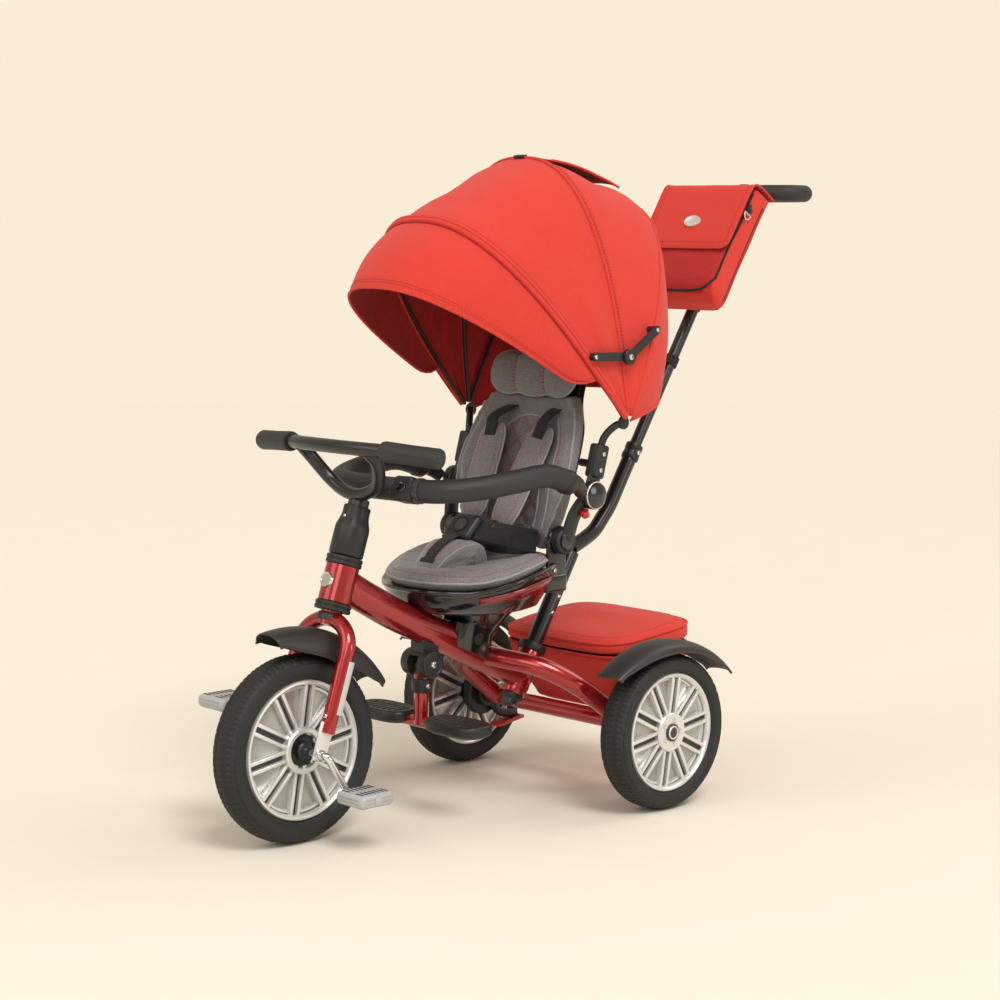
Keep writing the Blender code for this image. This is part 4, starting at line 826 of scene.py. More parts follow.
def fenderSkin(name, centre, radius, halfWidth, drop, start, end, flare, x, count=44, across=25,
        thick=0.0024):
    rows = []
    for i in range(count):
        t = i / (count - 1)
        angle = start + (end - start) * t
        bulge = flare * abs(2 * t - 1) ** 2
        pinch = math.sin(math.pi * min(max(t, 0.04), 0.96)) ** 0.35
        row = []
        for k in range(across):
            u = -1 + 2 * k / (across - 1)
            depth = (1 - math.sqrt(max(0.0, 1 - min(abs(u), 1.0) ** 2.2))) * drop * pinch
            r = radius + bulge - depth
            row.append(Vector((x + u * halfWidth * (0.55 + 0.45 * pinch), centre.y + math.sin(angle) * r,
                    centre.z + math.cos(angle) * r)))
        rows.append(row)
    guard = skin(name, rows, fenderGrey)
    if guard.data.polygons[len(guard.data.polygons) // 2].normal.dot(guard.data.polygons[len(guard.data.polygons) // 2].center - centre) < 0:
        guard.data.flip_normals()
    solid = guard.modifiers.new("wall", "SOLIDIFY")
    solid.thickness, solid.offset = thick, -1.0
    edge = guard.modifiers.new("edge", "BEVEL")
    edge.width, edge.segments = 0.0008, 2
    freeze(guard)
    rims = [pipe("edge_roll", [row[0 if side < 0 else -1] - Vector((side * 0.0006, 0, 0)) for row in rows],
            0.0021, fenderGrey, sides=12, steps=1) for side in (-1, 1)]
    return join(name, [guard] + rims)


def makeMudguards():
    front = fenderSkin("front_guard", frontHub, 0.1895, 0.0405, 0.042, math.radians(-17), math.radians(62),
            0.006, 0.0)
    put(front, "steering", "front_fender")
    put(lathe("guard_boss", [(0.0205, -0.004), (0.0205, 0.006), (0.0190, 0.0085), (0.0165, 0.009)],
            onSteering(0.2070), onSteering(1) - onSteering(0), matteBlack), "steering")
    for side, sign in bothSides:
        guard = fenderSkin("rear_guard_" + side, rearAxle, 0.1530, 0.0360, 0.018, math.radians(-52),
                math.radians(60), 0.020, sign * 0.239)
        stay = form("guard_stay", (0.003, 0.024, 0.150),
                Matrix.Translation((sign * 0.2065, 0.066, 0.193)) @ Matrix.Rotation(math.radians(6), 4, "X"),
                fenderGrey, 0.0012)
        rib = form("guard_stay_rib", (0.0022, 0.0050, 0.130),
                Matrix.Translation((sign * 0.2045, 0.066, 0.193)) @ Matrix.Rotation(math.radians(6), 4, "X"),
                fenderGrey, 0.001)
        put(join("rear_guard_" + side, [guard, stay, rib]), "frame", "rear_fender_" + side)
    print("mudguards made")


makeWheels()
makeSteering()
makePedals()
makeFrame()
makeMudguards()


# seat shell, pedestal and seat pad
seatPlan = {"centreY": -0.150, "halfX": 0.150, "halfY": 0.135, "power": 2.5}


def seatLift(x, y):
    back = max(0.0, (y + 0.24) / 0.22)
    return 0.045 * (abs(x) / 0.15) ** 2 * min(back, 1.0) + 0.010 * back


def seatRing(scaleX, scaleY, z, lift=None, count=96, notch=False):
    ring = []
    for i in range(count):
        a = 2 * math.pi * i / count
        c, s = math.cos(a), math.sin(a)
        x = seatPlan["halfX"] * scaleX * math.copysign(abs(c) ** (2 / seatPlan["power"]), c)
        y = seatPlan["centreY"] + seatPlan["halfY"] * scaleY * math.copysign(abs(s) ** (2 / seatPlan["power"]), s)
        x *= 1.0 - 0.30 * max(0.0, (seatPlan["centreY"] - y) / seatPlan["halfY"]) ** 1.5
        height = z + (lift(x, y) if lift else 0.0)
        if notch:
            room = 1.0 / (1.0 + math.exp(max(-40.0, min(40.0, -(y + 0.086) / 0.0022))))
            limit = 0.160 * (1 - room) + 0.106 * room
            x = max(-limit, min(limit, x))
        ring.append(Vector((x, y, height)))
    return ring


def hug(obj, points, lift=0.0):
    # nearest places on a finished surface, with outward normals
    bm = bmesh.new()
    bm.from_mesh(obj.data)
    tree = BVHTree.FromBMesh(bm)
    bm.free()
    places, normals = [], []
    for p in points:
        spot, normal = tree.find_nearest(Vector(p))[:2]
        if normal.dot(Vector(p) - spot) < 0 and (Vector(p) - spot).length > 0.0002:
            normal = normal if normal.dot(Vector(p) - Vector((0, seatPlan["centreY"], 0.5))) > 0 else -normal
        places.append(spot + normal * lift)
        normals.append(normal)
    return places, normals


def makeSeat():
    rows = [seatRing(0.56, 0.62, 0.3325), seatRing(0.66, 0.72, 0.3332), seatRing(0.76, 0.82, 0.3390),
            seatRing(0.88, 0.91, 0.3520, lambda x, y: seatLift(x, y) * 0.5),
            seatRing(0.955, 0.96, 0.3640, lambda x, y: seatLift(x, y) * 0.85),
            seatRing(0.97, 0.97, 0.3690, seatLift), seatRing(0.985, 0.985, 0.3700, seatLift),
            seatRing(1.0, 1.0, 0.3715, seatLift), seatRing(1.003, 1.003, 0.3740, seatLift),
            seatRing(0.995, 0.995, 0.3762, seatLift), seatRing(0.975, 0.975, 0.3766, seatLift),
            seatRing(0.93, 0.93, 0.3745, seatLift),
            seatRing(0.50, 0.50, 0.3745, seatLift), seatRing(0.12, 0.12, 0.3745, seatLift)]
    bits = [skin("shell_bowl", rows, glossBlack, closeRow=True, capStart=True, capEnd=True)]
    for side, sign in bothSides:
        ear = Vector((sign * 0.1180, -0.054, 0.447))
        bits.append(lathe("shell_ear", [(0.0, 0.0), (0.0225, 0.0), (0.0235, 0.0015), (0.0235, 0.0065),
                (0.0225, 0.0080), (0.0, 0.0080)], ear, (sign, 0, 0), glossBlack))
        bits.append(form("shell_strut", (0.0078, 0.042, 0.084), (sign * 0.1220, -0.060, 0.4060), glossBlack,
                0.003))
        bits.append(form("shell_foot", (0.026, 0.046, 0.030), (sign * 0.1150, -0.060, 0.3760), glossBlack,
                0.006, 4))
    put(join("seat_shell_gloss", bits), "frame", "seat_shell")
    for side, sign in bothSides:
        insert = []
        for k in range(14):
            a = math.radians(-30 + 95 * k / 13)
            ring = [seatRing(sx, sx, z, lambda x, y, w=w: seatLift(x, y) * w, 360) for sx, z,
                    w in ((0.902, 0.3530, 0.55), (0.958, 0.3640, 0.85))]
            index = int(round(a / (2 * math.pi) * 360)) % 360
            spots = [r[index] for r in ring]
            insert.append([Vector((sign * p.x * 1.004, p.y, p.z)) + Vector((sign * 0.0012, 0,
                    -0.0006)) for p in spots])
        strip = skin("shell_insert_" + side, insert, darkRed)
        wall = strip.modifiers.new("wall", "SOLIDIFY")
        wall.thickness, wall.offset = 0.0016, 0.0
        put(freeze(strip), "frame")
        screwHead("shell_screw_" + side, (sign * 0.1262, -0.066, 0.398), (sign, 0, 0), 0.0042, chrome,
                "frame")
        screwHead("shell_screw_low_" + side, (sign * 0.096, -0.205, 0.3425), (sign, -0.5, -0.6), 0.0038,
                chrome, "frame")
    legs = []
    for cy, hx, hy, z, tilt in ((-0.150, 0.033, 0.039, 0.2560, 0.46), (-0.149, 0.0335, 0.0395, 0.268, 0.46),
            (-0.145, 0.034, 0.040, 0.2950, 0.46), (-0.134, 0.037, 0.043, 0.3040, 0.23),
                                (-0.125, 0.042, 0.048, 0.3120, 0.0), (-0.125, 0.054, 0.059, 0.3240, 0.0),
                                (-0.125, 0.062, 0.066, 0.3327, 0.0)):
        legs.append([Vector((hx * math.copysign(abs(math.cos(a)) ** (2 / 3.5), math.cos(a)),
                cy + hy * math.copysign(abs(math.sin(a)) ** (2 / 3.5), math.sin(a)),
                             z - hy * math.copysign(abs(math.sin(a)) ** (2 / 3.5),
                             math.sin(a)) * tilt)) for a in (2 * math.pi * k / 64 for k in range(64))])
    bits = [skin("pedestal_body", legs, glossBlack, closeRow=True, capStart=True, capEnd=True)]
    for sign in (1, -1):
        bits.append(lathe("pedestal_cap", [(0.0, 0.003), (0.0080, 0.0028), (0.0100, 0.0012),
                (0.0100, -0.004)], (sign * 0.0345, -0.150, 0.283), (sign, 0, 0), matteBlack))
    put(join("seat_pedestal_gloss", bits), "frame", "seat_pedestal")
    pad = skin("seat_pad_soft", [seatRing(sx * 0.985, sy * 0.985, z, seatLift, 96, True) for sx, sy, z in
               ((0.10, 0.10, 0.3785), (0.50, 0.50, 0.3785), (0.90, 0.90, 0.3782), (0.985, 0.985, 0.3810),
                       (1.005, 1.005, 0.3870), (0.975, 0.975, 0.3950), (0.84, 0.86, 0.4005),
                (0.58, 0.62, 0.4005), (0.28, 0.30, 0.3985), (0.10, 0.10, 0.3980))], greyWool, closeRow=True,
                capStart=True, capEnd=True)
    swell(pad, 4.0, 0.006)
    seam = [p for p in seatRing(1.012, 1.012, 0.3890, seatLift, 120, True)]
    path, normals = hug(pad, seam, 0.0006)
    bits = [pipe("pad_piping", path, 0.0021, pipingGrey, sides=12, steps=2, cyclic=True)]
    inner = seatRing(0.86, 0.87, 0.42, seatLift, 200, True)
    path, normals = landOn(pad, inner + inner[:1], (0, 0, -1))
    bits.append(stitchRow("pad_stitch", path, normals, stitchRed))
    for y in (-0.215, -0.165, -0.110):
        line = [Vector((x, y,
                0.44)) for x in (-0.085 + 0.17 * k / 60 for k in range(61)) if abs(x) > 0.055 or y < -0.2]
        for part in ([p for p in line if p.x < 0], [p for p in line if p.x >= 0]):
            if len(part) > 2:
                path, normals = landOn(pad, part, (0, 0, -1))
                bits.append(stitchRow("pad_mark", path, normals, stitchRed))
    put(join("seat_pad_trim", bits), "frame")
    put(pad, "frame", "seat_pad")
    print("seat made")


# backrest, pillow and shoulder pads
backLevels = ((0.446, -0.050, 0.098, 0.030), (0.500, -0.034, 0.117, 0.030), (0.557, -0.026, 0.132, 0.030),
        (0.620, 0.002, 0.122, 0.030), (0.672, 0.020, 0.098, 0.026), (0.740, 0.034, 0.090, 0.010))


def levelsBetween(levels, steps):
    first = smoothPath([(z, y, half) for z, y, half, wrap in levels], steps)
    second = smoothPath([(z, wrap, 0.0) for z, y, half, wrap in levels], steps)
    return [(a.x, a.y, a.z, b.y) for a, b in zip(first, second)]


def backRing(level, front, back, shrink, count=33, belly=0.0):
    z, y, half, wrap = level
    half -= shrink
    ring = []
    for k in range(count):
        u = -1 + 2 * k / (count - 1)
        ring.append(Vector((u * half, y - front - wrap * abs(u) ** 2.5 - belly * (1 - u * u), z)))
    for k in range(count):
        u = 1 - 2 * k / (count - 1)
        ring.append(Vector((u * half, y + back - wrap * abs(u) ** 2.5, z)))
    return ring


def makeBackrest():
    levels = levelsBetween(backLevels, 7)
    shell = skin("back_shell", [backRing(level, -0.0195, 0.0320, 0.004) for level in levels], matteBlack,
            closeRow=True, capStart=True, capEnd=True)
    ribs = []
    for x in (-0.045, 0.0, 0.045):
        path = [Vector((x, y + 0.0322 - wrap * abs(x / half) ** 2.5, z)) for z, y, half, wrap in levels[3:-4]]
        ribs.append(pipe("back_rib", path, 0.0040, matteBlack, sides=12, steps=1, rounded=0.002))
    edge = [p for level in levels for p in [backRing(level, -0.0195, 0.0320, 0.004)[-1]]]
    ribs.append(pipe("back_edge", edge, 0.0030, matteBlack, sides=12, steps=1))
    ribs.append(pipe("back_edge", [Vector((-p.x, p.y, p.z)) for p in edge], 0.0030, matteBlack, sides=12,
            steps=1))
    put(join("backrest_shell_ribbed", [shell] + ribs), "backrest", "backrest_shell")
    low = levelsBetween(backLevels[:5], 8)
    pad = skin("backrest_pad_soft", [backRing((level[0] + 0.010 - 0.030 * (1 - n / (len(low) - 1)), level[1],
            level[2], level[3]), -0.0035 + 0.006 * (abs(2 * n / (len(low) - 1) - 1) ** 8), 0.0290,
            -0.002 + 0.006 * abs(2 * n / (len(low) - 1) - 1) ** 6) for n, level in enumerate(low)],
            [greyWool], closeRow=True, capStart=True, capEnd=True)
    swell(pad, 4.0, 0.006)

    def archHalf(z):
        # half width of the quilted middle at a height
        return 0.058 if z < 0.600 else 0.058 * math.sqrt(max(0.0, 1 - ((z - 0.600) / 0.043) ** 2))

    def diagonals(x, z):
        return min(abs(((x + z * sign) / 0.040) % 1.0 - 0.5) * 0.040 / 1.414 for sign in (1, -1))

    for vertex in pad.data.vertices:
        p = vertex.co
        if vertex.normal.y < -0.4 and abs(p.x) < archHalf(p.z) and p.z > 0.462:
            vertex.co.y -= 0.0030 * min(1.0, max(0.0, diagonals(p.x, p.z) / 0.010)) - 0.0016
    bits = []
    arch = [Vector((-0.058, 0, z)) for z in (0.462, 0.49, 0.52, 0.55, 0.58,
            0.598)] + [Vector((-0.058 * math.cos(a), 0,
            0.600 + 0.043 * math.sin(a))) for a in (math.pi * k / 16 for k in range(1, 16))] + \
        [Vector((0.058, 0, z)) for z in (0.598, 0.58, 0.55, 0.52, 0.49, 0.462)]
    path, normals = landOn(pad, smoothPath([p + Vector((0, -0.1, 0)) for p in arch], 4), (0, 1, 0))
    bits.append(pipe("arch_piping", path, 0.0020, pipingGrey, sides=12, steps=1))
    for sign in (1, -1):
        line = [Vector((sign * (0.088 - max(0.0, z - 0.60) * 0.5), -0.1,
                z)) for z in (0.462 + 0.178 * k / 40 for k in range(41))]
        path, normals = landOn(pad, line, (0, 1, 0))
        bits.append(pipe("wing_piping", path, 0.0017, pipingGrey, sides=10, steps=1))
        outer = [backRing(lv, 0.003, 0.0, -0.004)[0 if sign < 0 else 32] for lv in low[1:-2]]
        path, normals = hug(pad, outer, 0.0004)
        bits.append(pipe("edge_piping", path, 0.0020, pipingGrey, sides=10, steps=2))
        shade = [Vector((sign * (0.094 - max(0.0, z - 0.60) * 0.5), -0.1,
                z)) for z in (0.470 + 0.160 * k / 60 for k in range(61))]
        path, normals = landOn(pad, shade, (0, 1, 0))
        bits.append(stitchRow("wing_stitch", path, normals, stitchRed))
    for slope in (1, -1):
        for n in range(-1, 22):
            for offset in (-0.0014, 0.0014):
                line = []
                for k in range(61):
                    x = -0.058 + 0.116 * k / 60
                    z = -slope * x + (n + 0.5) * 0.040 + offset * 1.414
                    if abs(x) < archHalf(z) - 0.003 and 0.464 < z < 0.641:
                        line.append(Vector((x, -0.1, z)))
                if len(line) > 3:
                    path, normals = landOn(pad, line, (0, 1, 0))
                    bits.append(stitchRow("quilt_stitch", path, normals, stitchRed))
    put(join("backrest_pad_trim", bits), "backrest")
    put(pad, "backrest", "backrest_pad")
    # three-lobed pillow
    rows = []
    for i in range(61):
        x = -0.1030 + 0.206 * i / 60
        u = abs(x / 0.1035)
        lobe = abs(math.cos(x / 0.1030 * math.pi * 1.5)) ** 0.55
        tall = 0.0405 * (1 - u ** 4.0) ** 0.42 * (0.90 + 0.10 * lobe)
        deep = (0.0085 + 0.0095 * lobe) * (1 - u ** 4.5) ** 0.45
        mid = Vector((x, 0.0115 - 0.006 * (x / 0.1) ** 2, 0.7110))
        rows.append([mid + Vector((0.0, deep * math.copysign(abs(math.cos(a)) ** 0.85,
                math.cos(a)) + 0.16 * tall * math.sin(a),
                tall * math.copysign(abs(math.sin(a)) ** 0.8, math.sin(a))))
                     for a in (2 * math.pi * k / 48 for k in range(48))])
    pillow = skin("head_pillow_soft", rows, greyWool, closeRow=True, capStart=True, capEnd=True)
    swell(pillow, 3.0, 0.004, 0.004)
    bits = []
    ring = [rows[i][12] for i in range(1, 60)] + [rows[i][36] for i in range(59, 0, -1)]
    path, normals = hug(pillow, ring, 0.0004)
    bits.append(pipe("pillow_piping", path, 0.0019, pipingGrey, sides=10, steps=1, cyclic=True))
    for x in (-0.0343, 0.0343):
        for offset in (-0.0013, 0.0013):
            line = [Vector((x + offset, -0.1, 0.679 + 0.065 * k / 30)) for k in range(31)]
            path, normals = landOn(pillow, line, (0, 1, 0))
            bits.append(stitchRow("pillow_stitch", path, normals, stitchRed))
    put(join("head_pillow_trim", bits), "backrest")
    put(pillow, "backrest", "head_pillow")
    print("backrest made")


harness = {"strapWidth": 0.025, "padHalf": 0.0300, "padThick": 0.0085,
        "left": ((0.055, -0.020, 0.6240), (0.028, -0.098, 0.4640)),
        "right": ((-0.052, -0.030, 0.6240), (-0.045, -0.092, 0.4760))}


def makeHarness():
    for side, sign in bothSides:
        top, bottom = Vector(harness[side][0]), Vector(harness[side][1])
        padLong = (top - bottom).length / 2 + 0.006
        middle, along = (top + bottom) / 2, (top - bottom).normalized()
        out = Vector((0, -along.z, along.y)).normalized()
        across = along.cross(out).normalized()
        rows, rim = [], []
        for i in range(41):
            v = -1 + 2 * i / 40
            wide = harness["padHalf"] * (1 - abs(v) ** 5.0) ** 0.40 + 0.0004
            thick = harness["padThick"] * (1 - abs(v) ** 5.0) ** 0.45 + 0.0003
            mid = middle + along * v * padLong + out * 0.0010 * (1 - v * v)
            rows.append([mid + across * wide * math.copysign(abs(math.cos(a)) ** 0.8,
                    math.cos(a)) + out * thick * math.copysign(abs(math.sin(a)) ** 0.9, math.sin(a))
                         for a in (2 * math.pi * k / 40 for k in range(40))])
            rim.append((mid + across * wide, mid - across * wide))
        pad = skin("shoulder_pad_soft_" + side, rows, greyWool, closeRow=True, capStart=True, capEnd=True)
        finer = pad.modifiers.new("finer", "SUBSURF")
        finer.levels = finer.render_levels = 1
        freeze(pad)
        pad.data.shade_smooth()
        bits = [pipe("shoulder_piping", [r[0] for r in rim[1:-1]] + [r[1] for r in rim[-2:0:-1]], 0.0018,
                pipingGrey, sides=10, steps=1, cyclic=True)]
        stitchInset = 0.80
        loop = []
        for k in range(81):
            a = 2 * math.pi * k / 80
            loop.append(middle + across * harness["padHalf"] * stitchInset * 0.9 * math.copysign(abs(math.cos(a)) ** 0.6, math.cos(a))
                        + along * padLong * 0.88 * math.copysign(abs(math.sin(a)) ** 0.5,
                                math.sin(a)) + out * 0.05)
        path, normals = landOn(pad, loop, -out)
        bits.append(stitchRow("shoulder_stitch", path, normals, stitchRed))
        put(join("shoulder_trim_" + side, bits), "backrest")
        put(pad, "backrest", "shoulder_pad_" + side)
        rise = [top + out * 0.0085 - along * 0.022, top + out * 0.0105 - along * 0.004,
                top + out * 0.0095 + along * 0.012, Vector((top.x + 0.005, -0.008, 0.6520)),
                Vector((top.x + 0.006, 0.006, 0.6560))]
        norms = [out, out, (out + Vector((0, 0, 0.4))).normalized(), Vector((0, -0.7, 0.7)),
                Vector((0, -0.5, 0.85))]
        put(webStrip("shoulder_strap_" + side, rise, harness["strapWidth"], norms), "backrest")
        fall = [bottom + along * 0.010 + out * 0.002, bottom - along * 0.010 + out * 0.002,
                Vector((bottom.x * 0.75, -0.120, 0.4600)), Vector((sign * 0.018, -0.140, 0.4620))]
        norms = [out, out, Vector((0, -0.55, 0.8)), Vector((0, -0.5, 0.86))]
        put(webStrip("buckle_strap_" + side, fall, 0.022, norms), "backrest")
        # waist pads lie on both sides of the buckle
        waist = [Vector((sign * 0.026, -0.147, 0.4600)), Vector((sign * 0.058, -0.130, 0.4570)),
                Vector((sign * 0.085, -0.106, 0.4500)), Vector((sign * 0.096, -0.080, 0.4440))]
        norms = [Vector((0, -0.7, 0.7)), Vector((sign * 0.4, -0.8, 0.6)), Vector((sign * 0.8, -0.6, 0.3)),
                Vector((sign, -0.3, 0.2))]
        put(webStrip("waist_strap_" + side, waist, 0.040, norms, blackCloth, 0.0075), "backrest")
        joint = form("strap_joint_" + side, (0.030, 0.006, 0.020),
                facing((sign * 0.034, -0.1270, 0.4705), (0, -0.55, 0.83)) @ Matrix.Rotation(math.pi / 2, 4,
                "X"), matteBlack, 0.0025)
        put(joint, "backrest")
    tilt = facing((0.0, -0.1530, 0.4640), (0.0, -0.72, 0.69))
    bits = [form("buckle_box", (0.058, 0.050, 0.019), tilt, matteBlack, 0.0085, 6),
            lathe("buckle_ring", [(0.0170, 0.0090), (0.0168, 0.0112), (0.0146, 0.0118), (0.0138, 0.0102)],
            tilt @ Vector((0, 0, 0)), (0.0, -0.72, 0.69), matteBlack, steps=8),
            lathe("buckle_button", [(0.0, 0.0120), (0.0105, 0.0117), (0.0126, 0.0106), (0.0126, 0.0080)],
            tilt @ Vector((0, 0, 0)), (0.0, -0.72, 0.69), darkGreyAndGrooveShade, steps=40)]
    put(join("buckle", bits), "backrest")
    # crotch pad, a soft wedge that stands on the seat
    side = [(-0.2440, 0.3990), (-0.2400, 0.4090), (-0.2270, 0.4220), (-0.2060, 0.4370), (-0.1840, 0.4460),
            (-0.1600, 0.4465), (-0.1440, 0.4400), (-0.1360, 0.4260), (-0.1340, 0.4080), (-0.1500, 0.4000),
            (-0.1900, 0.3970), (-0.2250, 0.3965)]
    section = smoothPath([(0.0, y, z) for y, z in side], 4, True)
    centre = sum(section, Vector()) / len(section)
    rows = []
    for i in range(25):
        u = -1 + 2 * i / 24
        scale = (1 - abs(u) ** 4.0) ** 0.38 * 0.97 + 0.03
        rows.append([Vector((u * (0.034 + 0.020 * min(1.0, max(0.0, (p.y + 0.245) / 0.090))), 0,
                0)) + centre + (p - centre) * scale for p in section])
    wedge = skin("crotch_pad", rows, greyWool, closeRow=True, capStart=True, capEnd=True)
    finer = wedge.modifiers.new("finer", "SUBSURF")
    finer.levels = finer.render_levels = 1
    freeze(wedge)
    wedge.data.shade_smooth()
    put(wedge, "frame")
    bits = []
    for sign in (1, -1):
        edge = [Vector((sign * 0.92 * (0.034 + 0.020 * min(1.0, max(0.0, (p.y + 0.245) / 0.090))), p.y,
                p.z)) for p in section]
        path, normals = hug(wedge, edge, 0.0002)
        bits.append(pipe("crotch_piping", path, 0.0017, pipingGrey, sides=10, steps=1, cyclic=True))
    put(join("crotch_trim", bits), "frame")
    stitchInset = 0.72
    loop = [Vector((0.036 * stitchInset * math.copysign(abs(math.cos(q)) ** 0.6,
            math.cos(q)) * (1 + 0.25 * math.sin(q)),
            -0.186 + 0.048 * stitchInset * math.copysign(abs(math.sin(q)) ** 0.6, math.sin(q)) * 1.1,
            0.50)) for q in (2 * math.pi * k / 90 for k in range(91))]
    path, normals = landOn(wedge, loop, (0, 0, -1))
    put(stitchRow("crotch_stitch", path, normals, stitchRed), "frame")
    # a black mesh sheet from the backrest down to the seat fills the gap that shows dark between them
    rows = []
    for k in range(13):
        t = k / 12
        z = 0.4620 - 0.0560 * t
        rows.append([Vector((u * (0.100 - 0.004 * t), -0.0560 - 0.020 * t * t - 0.024 * abs(u) ** 2.5,
                z)) for u in (-1 + 2 * i / 24 for i in range(25))])
    skirt = skin("back_skirt", rows, blackMesh)
    wall = skirt.modifiers.new("cloth", "SOLIDIFY")
    wall.thickness, wall.offset = 0.0022, 0.0
    freeze(skirt)
    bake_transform(skirt)
    slot = form("crotch_slot", (0.032, 0.0085, 0.0028), facing((0.0, -0.2330, 0.4172), (0.0, -0.66, 0.75)),
            matteBlack, 0.0012)
    put(slot, "frame")
    strap = [Vector((0, -0.2330, 0.4150)), Vector((0, -0.2180, 0.4330)), Vector((0, -0.1950, 0.4470)),
            Vector((0, -0.1760, 0.4530)), Vector((0, -0.1640, 0.4560))]
    norms = [Vector((0, -0.7, 0.7)), Vector((0, -0.6, 0.8)), Vector((0, -0.4, 0.9)), Vector((0, -0.4, 0.9)),
            Vector((0, -0.6, 0.8))]
    put(webStrip("crotch_strap", strap, 0.024, norms), "frame")
    print("harness made")


# side arms and safety ring
ringPath = [(0.1760, -0.088, 0.549), (0.1800, -0.142, 0.563), (0.1750, -0.203, 0.558),
        (0.1580, -0.264, 0.550), (0.1220, -0.314, 0.545), (0.0800, -0.336, 0.545), (0.0520, -0.3425, 0.545)]


